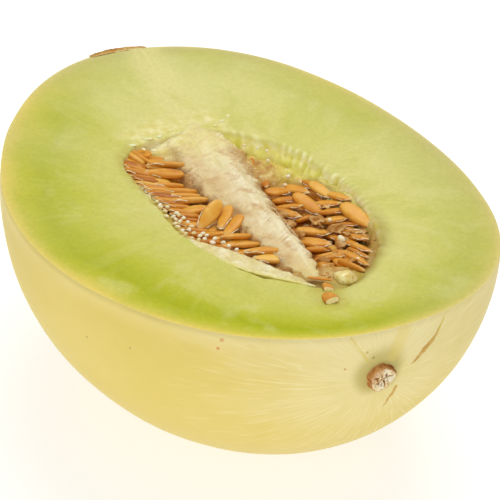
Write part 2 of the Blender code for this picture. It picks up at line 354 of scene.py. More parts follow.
def node(tree, kind, inputs=None, **settings):
    """Add a shader node; an input is a plain value, or another node's output to link."""
    made = tree.nodes.new("ShaderNode" + kind)
    for name, value in settings.items():
        setattr(made, name, value)
    for name, value in (inputs or {}).items():
        if isinstance(value, bpy.types.NodeSocket):
            tree.links.new(value, made.inputs[name])
        else:
            made.inputs[name].default_value = value
    return made


def maths(tree, operation, *values):
    return node(tree, "Math", dict(enumerate(values)), operation=operation).outputs[0]


def times(tree, first, *others):
    for other in others:
        first = maths(tree, "MULTIPLY", first, other)
    return first


def stirred(tree, value, cloud, by):
    """A value pushed up and down by a cloud of values about 0.5."""
    return maths(tree, "ADD", value, maths(tree, "MULTIPLY_ADD", cloud, 2.0 * by, -by))


def vectors(tree, operation, *values, **settings):
    """Vector maths. A length, a distance or a dot product comes out as a number."""
    made = node(tree, "VectorMath", {**dict(enumerate(values)), **settings}, operation=operation)
    return made.outputs["Value" if operation in ("LENGTH", "DISTANCE", "DOT_PRODUCT") else 0]


def parts(tree, vector):
    return tuple(node(tree, "SeparateXYZ", {0: vector}).outputs)


def gathered(tree, x, y, z):
    return node(tree, "CombineXYZ", {0: x, 1: y, 2: z}).outputs[0]


def mixed(tree, share, first, second, blend="MIX"):
    """One colour over another: each is red, green and blue up to 255, or comes from a node."""
    first, second = (colour(*tint) if isinstance(tint, tuple) else tint for tint in (first, second))
    made = node(tree, "Mix", {0: share, 6: first, 7: second}, data_type="RGBA", blend_type=blend)
    return made.outputs[2]


def ramp(tree, value, *stops):
    """Colours along a value: each stop is its place, then red, green and blue."""
    made = node(tree, "ValToRGB", {0: value})
    marks = made.color_ramp.elements
    while len(marks) < len(stops):
        marks.new(1.0)
    for mark, (place, *tint) in zip(marks, stops):
        mark.position = place
        mark.color = colour(*tint)
    return made.outputs[0]


def spread_of(tree, value, low, high, new_low=0.0, new_high=1.0, easing="SMOOTHSTEP"):
    """A value carried from one span to another, held at its ends; low may be the larger."""
    return node(tree, "MapRange", {0: value, 1: low, 2: high, 3: new_low, 4: new_high},
                interpolation_type=easing).outputs[0]


def washed(tree, under, tint, value, low, high, most=1.0):
    """A colour laid over another where a value goes from low to high."""
    return mixed(tree, spread_of(tree, value, low, high, 0.0, most), under, tint)


def attribute(tree, name):
    return node(tree, "Attribute", attribute_name=name).outputs["Fac"]


def new_material(name, **shader_values):
    """A material whose shader holds its own constants, with its tree and its place output."""
    material = bpy.data.materials.new(name)
    material.use_nodes = True
    tree = material.node_tree
    for socket, value in shader_values.items():
        tree.nodes["Principled BSDF"].inputs[socket.replace("_", " ")].default_value = value
    return material, tree, node(tree, "TexCoord").outputs["Object"]


def dressed(material, tint, relief=None, strength=0.5, deep=0.0004, roughness=None):
    """Finish a material: its colour, its fine relief in metres, and where it is wet."""
    tree = material.node_tree
    shader = tree.nodes["Principled BSDF"]
    tree.links.new(tint, shader.inputs["Base Color"])
    if relief:
        bump = node(tree, "Bump", {"Height": relief, "Strength": strength, "Distance": deep})
        tree.links.new(bump.outputs[0], shader.inputs["Normal"])
    if roughness:
        tree.links.new(roughness, shader.inputs["Roughness"])
    return material


def new_group(name, numbers, results):
    """A node group that takes a vector and some numbers: its tree, its input, its output."""
    group = bpy.data.node_groups.new(name, "ShaderNodeTree")
    group.interface.new_socket("Vector", in_out="INPUT", socket_type="NodeSocketVector")
    for way, names in (("INPUT", numbers), ("OUTPUT", results)):
        for socket_name in names:
            group.interface.new_socket(socket_name, in_out=way, socket_type="NodeSocketFloat")
    return group, group.nodes.new("NodeGroupInput").outputs, group.nodes.new("NodeGroupOutput").inputs


# Soft patches and fine grain, as all the melon's tissues have: values about 0.5.
mottle_group, given, wanted = new_group("tissue_mottle", ("Patch Size", "Grain Size"),
                                        ("Patches", "Grain"))
for size_name, name, detail in (("Patch Size", "Patches", 3.0), ("Grain Size", "Grain", 2.0)):
    cloud = node(mottle_group, "TexNoise", {
        "Vector": given["Vector"], "Scale": maths(mottle_group, "DIVIDE", 1.0, given[size_name]),
        "Detail": detail, "Roughness": 0.55})
    mottle_group.links.new(cloud.outputs[0], wanted[name])

# Long soft fibres along X of the vector given, as a value about 0.5.
fibre_group, given, wanted = new_group("tissue_fibres", ("Length", "Width"), ("Fibres",))
drawn = vectors(fibre_group, "DIVIDE", given["Vector"],
                gathered(fibre_group, given["Length"], given["Width"], given["Width"]))
cloud = node(fibre_group, "TexNoise", {"Vector": drawn, "Scale": 1.0, "Detail": 4.0,
                                       "Roughness": 0.6, "Distortion": 0.4})
fibre_group.links.new(cloud.outputs[0], wanted["Fibres"])


def mottle(tree, vector, patch, grain):
    """Patches and grain over a vector; their sizes are in metres."""
    made = node(tree, "Group", {"Vector": vector, "Patch Size": patch, "Grain Size": grain},
                node_tree=mottle_group)
    return made.outputs["Patches"], made.outputs["Grain"]


def fibres(tree, vector, length, width):
    return node(tree, "Group", {"Vector": vector, "Length": length, "Width": width},
                node_tree=fibre_group).outputs["Fibres"]


def moved(tree, vector, origin=CENTRE, turn=0.0):
    """Coordinates about an origin in the frame, turned round Z by some degrees."""
    shifted = vectors(tree, "SUBTRACT", vector, tuple(origin))
    if not turn:
        return shifted
    return node(tree, "Mapping", {"Vector": shifted,
                                  "Rotation": (0.0, 0.0, math.radians(turn))}).outputs[0]


def line_gap(tree, place, start, end):
    """Distance from a straight line between two places in the frame."""
    along = end - start
    shifted = moved(tree, place, start)
    share = vectors(tree, "DOT_PRODUCT", shifted, tuple(along / along.length_squared))
    share = node(tree, "Clamp", {0: share, 1: 0.0, 2: 1.0}).outputs[0]
    return vectors(tree, "DISTANCE", shifted, vectors(tree, "SCALE", tuple(along), Scale=share))


# Old nicks and specks in the rind: place in millimetres, radius, colour
SPECKS = (
    ((84.2, -10.8, -10.1), 0.45, (204, 140, 70)), ((84.8, -5.0, -5.8), 0.50, (196, 172, 84)),
    ((85.0, -2.8, -8.0), 0.60, (150, 150, 70)), ((71.6, -40.8, -1.9), 0.80, (226, 170, 110)),
    ((71.2, -41.5, -4.6), 0.65, (222, 150, 92)), ((39.5, -63.9, -16.5), 0.40, (150, 130, 70)),
    ((53.0, -57.5, -12.7), 0.38, (160, 138, 76)), ((77.6, -25.9, -1.2), 0.50, (190, 176, 110)))


def flesh_material():
    material, tree, place = new_material("melon_flesh_and_rind", Subsurface_Weight=0.15,
                                         Subsurface_Scale=0.003, Specular_IOR_Level=0.11,
                                         Subsurface_Radius=(1.0, 0.8, 0.35))
    rind_gap = attribute(tree, "from_rind")
    band = attribute(tree, "in_band")
    depth_in = attribute(tree, "inward")
    skin = attribute(tree, "skin")
    green = attribute(tree, "greenness")
    patches, grain = mottle(tree, place, 0.013, 0.0011)
    broad, _ = mottle(tree, place, 0.034, 0.004)

    # Streaks that run out from the bowl, in coordinates of way and depth.
    spoke = vectors(tree, "MULTIPLY", moved(tree, place, at(BOWL_X, 0.0)), (1.0, 1.0, 0.0))
    x_way, y_way, _ = parts(tree, vectors(tree, "NORMALIZE", spoke))
    polar = gathered(tree, depth_in, x_way, y_way)
    streaks = fibres(tree, polar, 0.70, 0.085)

    # Greenest a few millimetres under the rind, paler inwards and round the far side.
    blur = times(tree, spread_of(tree, rind_gap, 0.0, 0.2),
                 maths(tree, "MULTIPLY_ADD", patches, 0.26, -0.13))
    deep_green = ramp(tree, maths(tree, "ADD", band, blur), (0.0, 238, 214, 112),
                      (0.035, 227, 207, 92), (0.08, 208, 200, 70), (0.15, 190, 191, 38),
                      (0.25, 174, 180, 6), (0.35, 179, 184, 20), (0.48, 190, 192, 46),
                      (0.65, 202, 201, 82), (1.0, 206, 203, 96))
    pale_green = ramp(tree, maths(tree, "ADD", rind_gap, blur), (0.0, 208, 198, 140),
                      (0.05, 200, 193, 122), (0.14, 198, 193, 115), (0.3, 204, 200, 118),
                      (0.55, 210, 206, 124), (0.85, 218, 213, 134), (1.0, 220, 215, 136))
    body = mixed(tree, green, pale_green, deep_green)
    heart = mixed(tree, green, (220, 213, 130), (211, 206, 112))
    body = mixed(tree, times(tree, spread_of(tree, depth_in, 0.5, 0.9), 0.7), body, heart)
    along, across, up_down = parts(tree, moved(tree, place))
    # Round the stem end of the bowl it turns olive brown towards the edge: partly wet, darker flesh, partly
    # painted shade of the rounded edge.
    stem_edge_wet_and_shade = times(tree, spread_of(tree, along, 0.016, 0.056, 0.03, 0.9),
                   spread_of(tree, across, -0.011, -0.002))
    stem_edge_wet_and_shade = times(tree, stem_edge_wet_and_shade, spread_of(tree, stirred(tree, depth_in, patches, 0.08), 0.83, 1.0))
    body = mixed(tree, stem_edge_wet_and_shade, body, (152, 128, 40))

    # Beside the shingled seeds of the near blossom quarter it is darkened olive towards the bowl's edge:
    # painted shade.
    near_edge_shade = times(tree, spread_of(tree, along, 0.008, -0.012, 0.0, 0.55),
                  spread_of(tree, across, -0.015, -0.022))
    near_edge_shade = times(tree, near_edge_shade, spread_of(tree, stirred(tree, depth_in, patches, 0.06), 0.90, 1.0))
    body = mixed(tree, near_edge_shade, body, (182, 160, 72))

    # The pale strand of vessels that runs from the pith to the blossom scar.
    strand = moved(tree, place, at(-52.0, 1.8), 7.0)
    along_strand, off_strand, _ = parts(tree, strand)
    aside = maths(tree, "ABSOLUTE", stirred(tree, off_strand, broad, 0.005))
    near_strand = spread_of(tree, aside, 0.0095, 0.0015)
    on_blossom_half = spread_of(tree, along_strand, 0.030, 0.012)
    lines = spread_of(tree, fibres(tree, strand, 0.022, 0.0011), 0.35, 0.7)
    strand_share = times(tree, near_strand, on_blossom_half,
                         maths(tree, "MULTIPLY_ADD", lines, 0.35, 0.55))
    body = mixed(tree, strand_share, body, (229, 219, 146))
    # Round the pith's root the flesh turns cream and cloudy.
    root_gap = line_gap(tree, place, at(-28.5, -17.0), at(-31.5, 5.0))
    root_gap = stirred(tree, root_gap, patches, 0.007)
    shreds, _ = mottle(tree, place, 0.0035, 0.0009)
    root = ramp(tree, shreds, (0.36, 222, 210, 120), (0.5, 232, 220, 144), (0.64, 241, 231, 172))
    body = washed(tree, body, root, root_gap, 0.0110, 0.0015, 0.95)
    # A brown-green darkening along the cut seeds that lie on the stem end of the cut.
    seed_band_gap = line_gap(tree, place, at(58.5, -2.5), at(66.5, -6.8))
    seed_band_gap = stirred(tree, seed_band_gap, shreds, 0.002)
    body = washed(tree, body, (188, 170, 66), seed_band_gap, 0.0075, 0.0020, 0.55)

    # Streaks, patches and fine cells over all the cut.
    streak_share = times(tree, spread_of(tree, streaks, 0.48, 0.80),
                         spread_of(tree, depth_in, 0.10, 0.40, 0.05, 0.24))
    body = mixed(tree, streak_share, body, (224, 220, 146))
    blots = fibres(tree, polar, 0.55, 0.30)
    on_face = spread_of(tree, depth_in, 0.03, 0.16)
    body = mixed(tree, times(tree, spread_of(tree, blots, 0.50, 0.66, 0.0, 0.30), on_face), body,
                 (224, 220, 150))
    body = mixed(tree, times(tree, spread_of(tree, blots, 0.47, 0.34, 0.0, 0.30), on_face), body,
                 (184, 190, 60))
    body = mixed(tree, times(tree, spread_of(tree, broad, 0.52, 0.68), 0.26), body, (194, 196, 72))
    cells = ramp(tree, grain, (0.3, 236, 236, 232), (0.7, 255, 255, 255))
    body = mixed(tree, 0.5, body, mixed(tree, 1.0, body, cells, "MULTIPLY"))

    # The torn wall of the bowl: yellower and browner further down, with rib heads painted pale, partly as
    # painted highlight, and olive painted shade down it at the stem end.
    wall_share = times(tree, spread_of(tree, up_down, -0.0002, -0.0020),
                       spread_of(tree, depth_in, 0.90, 0.99))
    wall = ramp(tree, shreds, (0.34, 226, 222, 98), (0.46, 238, 232, 132), (0.58, 246, 240, 164),
                (0.68, 253, 249, 204))
    wall = washed(tree, wall, (208, 184, 100), up_down, -0.0030, -0.0075)
    # Olive painted shade, deepening down the wall at the stem end of the bowl.
    olive_shade = ramp(tree, shreds, (0.34, 170, 150, 56), (0.5, 190, 172, 80), (0.66, 210, 192, 112))
    olive_shade = washed(tree, (206, 196, 104), olive_shade, up_down, -0.0006, -0.0030)
    fluffy = ramp(tree, shreds, (0.36, 226, 212, 110), (0.5, 238, 226, 146), (0.64, 248, 240, 184))
    wall = washed(tree, wall, fluffy, along, 0.006, 0.018, 0.8)
    wall = washed(tree, wall, olive_shade, along, 0.034, 0.050)
    cream = ramp(tree, shreds, (0.34, 214, 190, 118), (0.5, 224, 204, 140), (0.66, 236, 224, 172))
    near_blossom = times(tree, spread_of(tree, along, -0.010, -0.022),
                         spread_of(tree, across, 0.0, -0.006))
    wall = mixed(tree, near_blossom, wall, cream)
    body = mixed(tree, wall_share, body, wall)
    # Rib heads painted pale near the top: partly pale tissue, partly painted highlight.
    rib_head_pale_and_highlight = times(tree, attribute(tree, "rib"),
                     times(tree, spread_of(tree, up_down, -0.0045, -0.0010),
                           spread_of(tree, shreds, 0.34, 0.56, 0.15, 0.95)))
    body = mixed(tree, times(tree, rib_head_pale_and_highlight, 0.9), body, (251, 246, 192))

    # The rind: cream yellow, cloudy, with fine hairlines running out from the stem.
    from_stem = moved(tree, place, at(*STEM_POLE))
    stem_gap = vectors(tree, "LENGTH", from_stem)
    _, beside_stem, above_stem = parts(tree, from_stem)
    turn = vectors(tree, "NORMALIZE", gathered(tree, 0.0, beside_stem, above_stem))
    _, turn_y, turn_z = parts(tree, turn)
    hairlines = fibres(tree, gathered(tree, stem_gap, turn_y, turn_z), 0.010, 0.024)
    hair_share = times(tree, spread_of(tree, hairlines, 0.5, 0.72),
                       spread_of(tree, stem_gap, 0.070, 0.012))
    peel = ramp(tree, broad, (0.32, 234, 212, 124), (0.5, 240, 221, 140), (0.68, 244, 228, 156))
    peel = mixed(tree, times(tree, spread_of(tree, up_down, -0.016, 0.0), 0.7), peel, (242, 224, 148))
    peel = washed(tree, peel, (244, 231, 182), along, 0.050, 0.080, 0.6)
    peel = mixed(tree, times(tree, spread_of(tree, patches, 0.4, 0.7), 0.35), peel, (228, 211, 126))
    peel = washed(tree, peel, (222, 198, 118), up_down, -0.030, -0.052, 0.5)
    # The near side is the ripest, a warmer yellow between the rim and the foot.
    ripe = times(tree, spread_of(tree, along, -0.060, 0.004),
                 spread_of(tree, along, 0.088, 0.076))
    ripe = times(tree, ripe, spread_of(tree, up_down, -0.001, -0.007, 0.45, 1.0))
    ripe = times(tree, ripe, spread_of(tree, up_down, -0.060, -0.034, 0.45, 1.0))
    ripe = times(tree, ripe, spread_of(tree, broad, 0.34, 0.62, 0.45, 0.85))
    peel = mixed(tree, ripe, peel, (227, 203, 104))
    peel = mixed(tree, times(tree, hair_share, 0.55), peel, (250, 240, 188))
    dull_lines = times(tree, spread_of(tree, hairlines, 0.46, 0.30),
                       spread_of(tree, stem_gap, 0.050, 0.010))
    peel = mixed(tree, times(tree, dull_lines, 0.34), peel, (222, 202, 108))
    # Painted olive shade of the dimple round the stub, wider above the stub than below it.
    stem_shade_gap = stirred(tree, stem_gap, patches, 0.003)
    stem_shade_gap = maths(tree, "MULTIPLY_ADD", above_stem, -0.22, stem_shade_gap)
    peel = washed(tree, peel, (184, 168, 80), stem_shade_gap, 0.0092, 0.0046, 0.65)
    yellow = line_gap(tree, place, at(84.7, 5.7, -2.0), at(84.9, 3.9, -8.4))
    yellow = stirred(tree, yellow, patches, 0.002)
    peel = washed(tree, peel, (234, 212, 104), yellow, 0.0030, 0.0002, 0.4)
    wavy = node(tree, "TexNoise", {"Vector": place, "Scale": 260.0, "Detail": 2.0}).outputs["Color"]
    wavy = vectors(tree, "SCALE", wavy, Scale=0.0010)
    wavy = vectors(tree, "ADD", place, wavy)
    thread = line_gap(tree, wavy, at(84.5, -9.5, -0.1), at(85.4, -3.9, -8.2))
    peel = washed(tree, peel, (222, 200, 84), thread, 0.0006, 0.0001, 0.6)
    for spot, size, tint in SPECKS:
        gap = vectors(tree, "DISTANCE", place, tuple(at(*spot)))
        peel = washed(tree, peel, tint, gap, size * MM, 0.4 * size * MM, 0.85)

    # The skin is a little duller than the face, and the bowl's wall is wet.
    roughness = maths(tree, "MULTIPLY_ADD", skin, 0.06, 0.40)
    roughness = maths(tree, "MULTIPLY_ADD", wall_share, -0.18, roughness)
    height = maths(tree, "MULTIPLY_ADD", streaks, 0.6, times(tree, grain, 0.5))
    skin_height = maths(tree, "MULTIPLY_ADD", hairlines, 0.25, times(tree, patches, 0.6))
    return dressed(material, mixed(tree, skin, body, peel), mixed(tree, skin, height, skin_height),
                   0.25, 0.0004, roughness)


finish_piece(flesh, flesh_material(), "flesh", "melon_flesh")

# ---------------------------------------------------------------------------
# Pith. The spongy white wall down the middle of the bowl, which fed the seeds.
# It grows out of the flesh at the blossom end and runs free to a tip, with
# fibrous flanks that slope down into the seeds.
# ---------------------------------------------------------------------------
PITH_RINGS = 260
PITH_SEGMENTS = 132
PITH_TOP_SHARE = 0.42       # shares of the way round from the top's middle
PITH_FOOT_SHARE = 0.88
PITH_BASE = -15.0
HOLLOW_X, HOLLOW_Y = 15.5, -9.6
HOLLOW_LENGTH, HOLLOW_WIDTH, HOLLOW_DEPTH = 3.6, 2.6, 1.5
BALL = 10.0                 # radius of the balls that this and later lumps are shaped from
# Down the length: X, near edge, far edge, height of its crest, how far the near and the
# far side fall away from the crest, near and far flank spread, near and far flank depth
PITH_STATIONS = (
    (-41.0, -3.0, 4.4, -1.5, 0.0, 0.0, 0.3, 0.3, 1.0, 1.0),
    (-36.0, -5.6, 5.2, -0.35, 0.1, 0.1, 1.0, 1.0, 1.6, 1.6),
    (-32.0, -7.6, 5.4, -0.05, 0.5, 0.4, 5.0, 2.5, 2.6, 2.6),
    (-27.0, -8.8, 5.2, 0.0, 0.9, 0.7, 11.0, 5.0, 3.0, 3.0),
    (-18.0, -9.8, 4.8, -0.3, 0.9, 0.7, 8.5, 7.0, 4.6, 4.2),
    (-6.0, -11.2, 4.0, -0.4, 1.2, 0.9, 6.0, 7.0, 6.6, 5.4),
    (6.0, -11.6, 2.8, -0.5, 1.4, 0.9, 3.8, 4.6, 7.5, 7.0),
    (16.0, -10.6, 1.8, -0.5, 1.7, 1.0, 2.8, 3.8, 7.5, 6.2),
    (28.0, -9.4, 1.2, -0.4, 1.4, 1.0, 2.3, 3.0, 7.5, 6.2),
    (38.0, -9.0, 0.6, -0.5, 1.3, 1.2, 1.9, 2.6, 7.5, 6.2),
    (46.0, -8.2, -0.6, -0.7, 1.1, 1.1, 1.6, 1.9, 7.0, 6.0),
    (51.0, -7.0, -2.2, -0.9, 0.7, 0.8, 1.1, 1.3, 6.0, 5.0),
    (55.5, -5.4, -3.7, -1.3, 0.2, 0.2, 0.5, 0.5, 4.0, 4.0))


def along_stations(x, stations):
    """Columns of a station table at each x, with the corners between stations eased."""
    table = np.array(stations)
    fine = np.linspace(table[0, 0] - 6.0, table[-1, 0] + 6.0, 900)
    width = int(4.0 / (fine[1] - fine[0]))
    kernel = np.hanning(2 * width + 1)[1:-1]
    kernel = kernel / kernel.sum()
    columns = []
    for column in table[:, 1:].T:
        values = np.pad(np.interp(fine, table[:, 0], column), len(kernel) // 2, mode="edge")
        columns.append(np.interp(x, fine, np.convolve(values, kernel, mode="valid")))
    return columns


def lying_lump(name, rings, segments):
    """A round lump with its poles on X: the piece, its share along X, and its way round.

    The way round runs from -1 to 1, and is 0 along the top and positive to the far side.
    """
    piece = new_primitive(bpy.ops.mesh.primitive_uv_sphere_add, name, segments=segments,
                          ring_count=rings, radius=BALL * MM, location=at(0.0, 0.0),
                          rotation=(0.0, math.pi / 2.0, 0.0))
    ball = read_points(piece) / BALL
    share = 1.0 - np.arccos(np.clip(ball[:, 0], -1.0, 1.0)) / math.pi
    return piece, share, np.arctan2(ball[:, 1], ball[:, 2]) / math.pi


def pith_skin(x, way_round):
    """The pith's smooth skin: Y, Z, share over the top, down its flank, and underneath."""
    (near_edge, far_edge, crest, near_fall, far_fall, near_spread, far_spread, near_depth,
     far_depth) = along_stations(x, PITH_STATIONS)
    side = np.sign(way_round)
    turn = np.abs(way_round)
    across = np.clip(turn / PITH_TOP_SHARE, 0.0, 1.0) * side
    down = np.clip((turn - PITH_TOP_SHARE) / (PITH_FOOT_SHARE - PITH_TOP_SHARE), 0.0, 1.0)
    under = np.clip((turn - PITH_FOOT_SHARE) / (1.0 - PITH_FOOT_SHARE), 0.0, 1.0)
    middle = (near_edge + far_edge) / 2.0
    y = middle + (far_edge - near_edge) / 2.0 * across
    y = y + side * np.where(side > 0.0, far_spread, near_spread) * down ** 0.95
    y = y + (middle - y) * under
    ends = np.minimum(smooth(PITH_STATIONS[0][0], PITH_STATIONS[0][0] + 2.0, x),
                      smooth(PITH_STATIONS[-1][0], PITH_STATIONS[-1][0] - 5.0, x))
    # The crest runs nearer the far side, and both shoulders round off into the flanks.
    from_crest = across - 0.35
    fall = np.where(from_crest > 0.0, far_fall * (from_crest / 0.65) ** 2,
                    near_fall * (from_crest / 1.35) ** 2)
    depth = np.where(side > 0.0, far_depth, near_depth)
    z = crest - fall * ends - depth * ends * down ** 1.4
    z = z + (PITH_BASE * ends + crest - z) * under
    return y, z, across, down, under


pith, share, way_round = lying_lump("pith_wall", PITH_RINGS, PITH_SEGMENTS)
x = PITH_STATIONS[0][0] + share * (PITH_STATIONS[-1][0] - PITH_STATIONS[0][0])
y, z, across, down, under = pith_skin(x, way_round)
side = np.sign(way_round)
rough = smooth(-32.0, -20.0, x) * (1.0 - under)
long_fibres = lumps(x, y * 5.0, z * 5.0, 8.0, 11.0)
cross_fibres = lumps(x * 4.0, y * 1.2, z * 1.5, 6.0, 17.0)
knots = lumps(x, y, z, 4.2, 23.0)
fine_knots = lumps(x, y, z, 1.4, 29.0)
shoulder = smooth(0.45, 1.0, np.abs(across))
torn = smooth(0.0, 0.25, down)
z = z + rough * (0.10 + 0.06 * shoulder) * long_fibres * (1.0 - torn)
z = z + rough * (0.30 * shoulder + 0.15 * torn) * cross_fibres
z = z + rough * (0.26 + 0.45 * shoulder) * knots + rough * (0.10 + 0.22 * shoulder) * fine_knots
y = y + rough * side * (0.5 * shoulder + 0.5 * torn) * (cross_fibres + knots)
# A hollow where the fibres have pulled away, half way along the near side.
hollow = np.exp(-((x - HOLLOW_X) / HOLLOW_LENGTH) ** 2 - ((y - HOLLOW_Y) / HOLLOW_WIDTH) ** 2)
z = z - HOLLOW_DEPTH * hollow * (1.0 - under)
write_points(pith, np.stack([x, y, z], 1))
point_values(pith, down_flank=np.where(under > 0.0, 1.0, down), from_crest=np.abs(across - 0.35),
             hollow=hollow)


def pith_material():
    material, tree, place = new_material("spongy_pith", Subsurface_Weight=0.35, Subsurface_Scale=0.004,
                                         Specular_IOR_Level=0.2, Subsurface_Radius=(1.0, 0.75, 0.4))
    flank = attribute(tree, "down_flank")
    off_crest = attribute(tree, "from_crest")
    centred = moved(tree, place)
    x_way, _, _ = parts(tree, centred)
    patches, grain = mottle(tree, centred, 0.006, 0.0009)
    broad, _ = mottle(tree, centred, 0.013, 0.002)
    along = fibres(tree, moved(tree, place, turn=8.0), 0.016, 0.0016)
    down_slope = fibres(tree, moved(tree, place, turn=62.0), 0.005, 0.0007)
    crest_tint = ramp(tree, maths(tree, "ADD", times(tree, along, 0.6), times(tree, patches, 0.4)),
                      (0.36, 222, 205, 152), (0.5, 236, 223, 182), (0.64, 248, 240, 211))
    young = ramp(tree, along, (0.3, 222, 208, 132), (0.5, 230, 216, 146), (0.7, 237, 225, 162))
    young = washed(tree, young, (243, 233, 180), patches, 0.54, 0.66, 0.5)
    top_tint = washed(tree, crest_tint, young, x_way, 0.004, -0.026)
    side_tint = ramp(tree, patches, (0.34, 204, 168, 112), (0.5, 222, 197, 144), (0.66, 240, 224, 180))
    # Towards its root in the flesh it is paler and greener all over.
    shreds, _ = mottle(tree, centred, 0.0035, 0.0009)
    root_tint = ramp(tree, shreds, (0.36, 222, 208, 124), (0.5, 233, 220, 148), (0.64, 243, 233, 178))
    side_tint = washed(tree, side_tint, root_tint, x_way, -0.012, -0.024)
    drift = stirred(tree, off_crest, broad, 1.2)
    top_tint = washed(tree, top_tint, side_tint, drift, 0.25, 1.0, 0.95)
    # Painted shade: the pulled-away hollow is painted brown.
    top_tint = washed(tree, top_tint, (184, 138, 80), attribute(tree, "hollow"), 0.2, 0.8, 0.8)
    # Down the flanks it browns, darkest low down: partly the fibres' own brown, partly painted shade where
    # the flanks fall into the seeds.
    flank_tint = ramp(tree, down_slope, (0.3, 172, 124, 66), (0.5, 199, 160, 102),
                      (0.72, 232, 210, 162))
    deep_brown_and_shade = ramp(tree, patches, (0.35, 166, 108, 48), (0.65, 198, 148, 84))
    worn = stirred(tree, flank, down_slope, 0.35)
    worn = stirred(tree, worn, patches, 0.45)
    tint = washed(tree, top_tint, flank_tint, worn, -0.04, 0.24)
    tint = washed(tree, tint, deep_brown_and_shade, worn, 0.26, 0.75)
    # Near the blossom end the flanks are still pale, and at its tip it is half clear.
    pale = times(tree, spread_of(tree, x_way, -0.012, -0.024), spread_of(tree, worn, 0.0, 0.3))
    tint = mixed(tree, times(tree, pale, 0.9), tint, root_tint)
    tint = washed(tree, tint, (222, 200, 130), x_way, 0.043, 0.052, 0.7)
    wetness = spread_of(tree, patches, 0.4, 0.6, 0.42, 0.65, "LINEAR")
    height = washed(tree, times(tree, along, 0.5), down_slope, flank, 0.0, 0.2)
    height = maths(tree, "MULTIPLY_ADD", grain, 0.4, height)
    return dressed(material, tint, height, 0.45, 0.0006, wetness)


finish_piece(pith, pith_material(), "pith", "pith")


def strung(name, lines, thickness):
    """Fine strings as one mesh; each line is places in the frame with a thickness share."""
    curve = bpy.data.curves.new(name, "CURVE")
    curve.dimensions = "3D"
    curve.bevel_depth = thickness * MM
    curve.bevel_resolution = 0
    curve.use_fill_caps = True
    for line in lines:
        spline = curve.splines.new("POLY")
        spline.points.add(len(line) - 1)
        for point, (spot, share) in zip(spline.points, line):
            point.co = (*spot, 1.0)
            point.radius = share
    piece = bpy.data.objects.new(name, curve)
    bpy.context.scene.collection.objects.link(piece)
    only(piece)
    bpy.ops.object.convert(target="MESH")
    return bpy.context.object


# Torn hairs that hang from the pith's shoulders down its flanks.
pick = random.Random(3)
hair_x, hair_way, hair_lift = [], [], []
HAIRS, HAIR_STEPS, HAIR_THICKNESS = 400, 6, 0.075
for _ in range(HAIRS):
    x = pick.uniform(-22.0, 47.0)
    sign = -1.0 if pick.random() < 0.6 else 1.0
    start = pick.uniform(0.35, 0.50)
    run = pick.gauss(-0.6, 1.1)
    drop = pick.uniform(0.06, 0.17)
    lift = pick.uniform(0.1, 0.5)
    for step in range(HAIR_STEPS):
        part = step / (HAIR_STEPS - 1.0)
        hair_x.append(x + run * part + pick.uniform(-0.12, 0.12))
        hair_way.append(sign * (start + drop * part))
        hair_lift.append(lift * math.sin(math.pi * min(1.0, part + 0.12)))
hair_y, hair_z, _, _, _ = pith_skin(np.array(hair_x), np.array(hair_way))
hairs = []
for k, spot in enumerate(zip(hair_x, hair_y, hair_z + np.array(hair_lift))):
    step = k % HAIR_STEPS
    if step == 0:
        hairs.append([])
    hairs[-1].append((at(*spot), 1.0 - 0.75 * (step / (HAIR_STEPS - 1)) ** 2))
pith_hairs = strung("pith_hairs", hairs, HAIR_THICKNESS)


def hair_material():
    material, tree, place = new_material("torn_pith_hair", Roughness=0.7, Specular_IOR_Level=0.1)
    centred = moved(tree, place)
    x_way, _, up_down = parts(tree, centred)
    patches, _ = mottle(tree, centred, 0.004, 0.001)
    tint = ramp(tree, patches, (0.35, 222, 198, 140), (0.5, 234, 216, 168), (0.65, 244, 232, 196))
    tint = washed(tree, tint, (208, 160, 98), up_down, -0.0010, -0.0045, 0.85)
    tint = washed(tree, tint, (230, 221, 148), x_way, -0.022, -0.034, 0.8)
    return dressed(material, tint)


finish_piece(pith_hairs, hair_material(), "pith")

# ---------------------------------------------------------------------------
# Lip. A crescent of pale, grainy inner flesh left along the near edge of the bowl,
# standing a hair below the cut with a dark crease outside it.
# ---------------------------------------------------------------------------
# Down the length: X, outer edge, inner edge, height at the outer and the inner edge
LIP_STATIONS = (
    (18.0, -31.0, -29.6, -1.6, -2.4), (24.0, -30.8, -28.4, -0.8, -1.8),
    (28.0, -30.1, -25.2, -0.5, -1.5), (32.0, -29.0, -21.4, -0.4, -1.3),
    (36.0, -27.6, -18.0, -0.4, -1.3), (42.0, -24.6, -14.6, -0.3, -1.3),
    (47.0, -20.8, -11.6, -0.2, -1.3), (52.0, -16.1, -8.8, 0.0, -1.1),
    (56.0, -11.8, -7.6, 0.1, -0.6), (60.0, -7.4, -6.8, 0.0, -0.3))
LIP_THICKNESS = 5.0
LIP_RINGS, LIP_SEGMENTS = 130, 72

lip, share, way_round = lying_lump("near_lip", LIP_RINGS, LIP_SEGMENTS)
x = LIP_STATIONS[0][0] + share * (LIP_STATIONS[-1][0] - LIP_STATIONS[0][0])
outer, inner, outer_top, inner_top = along_stations(x, LIP_STATIONS)
# Over the top from the outer to the inner edge, then back underneath.
over = np.clip(0.5 + way_round / 1.3, 0.0, 1.0)
under = smooth(0.65, 1.0, np.abs(way_round))
ends = np.minimum(smooth(0.0, 0.05, share), smooth(1.0, 0.96, share))
y = outer + (inner - outer) * over
y = y + ((outer + inner) / 2.0 - y) * under * 0.6
hump = 0.5 * np.sqrt(np.clip(4.0 * over * (1.0 - over), 0.0, 1.0))
z = outer_top + (inner_top - outer_top) * over ** 1.4 + (hump - 0.5) * ends
z = z - LIP_THICKNESS * ends * under
grainy = 0.28 * lumps(x, y, z, 1.5, 31.0) + 0.22 * lumps(x, y, z, 3.6, 37.0)
z = z + grainy * (1.0 - under) * ends
y = y + 0.3 * lumps(x, y, z, 1.9, 41.0) * ends
write_points(lip, np.stack([x, y, z], 1))
point_values(lip, inner_side=over)


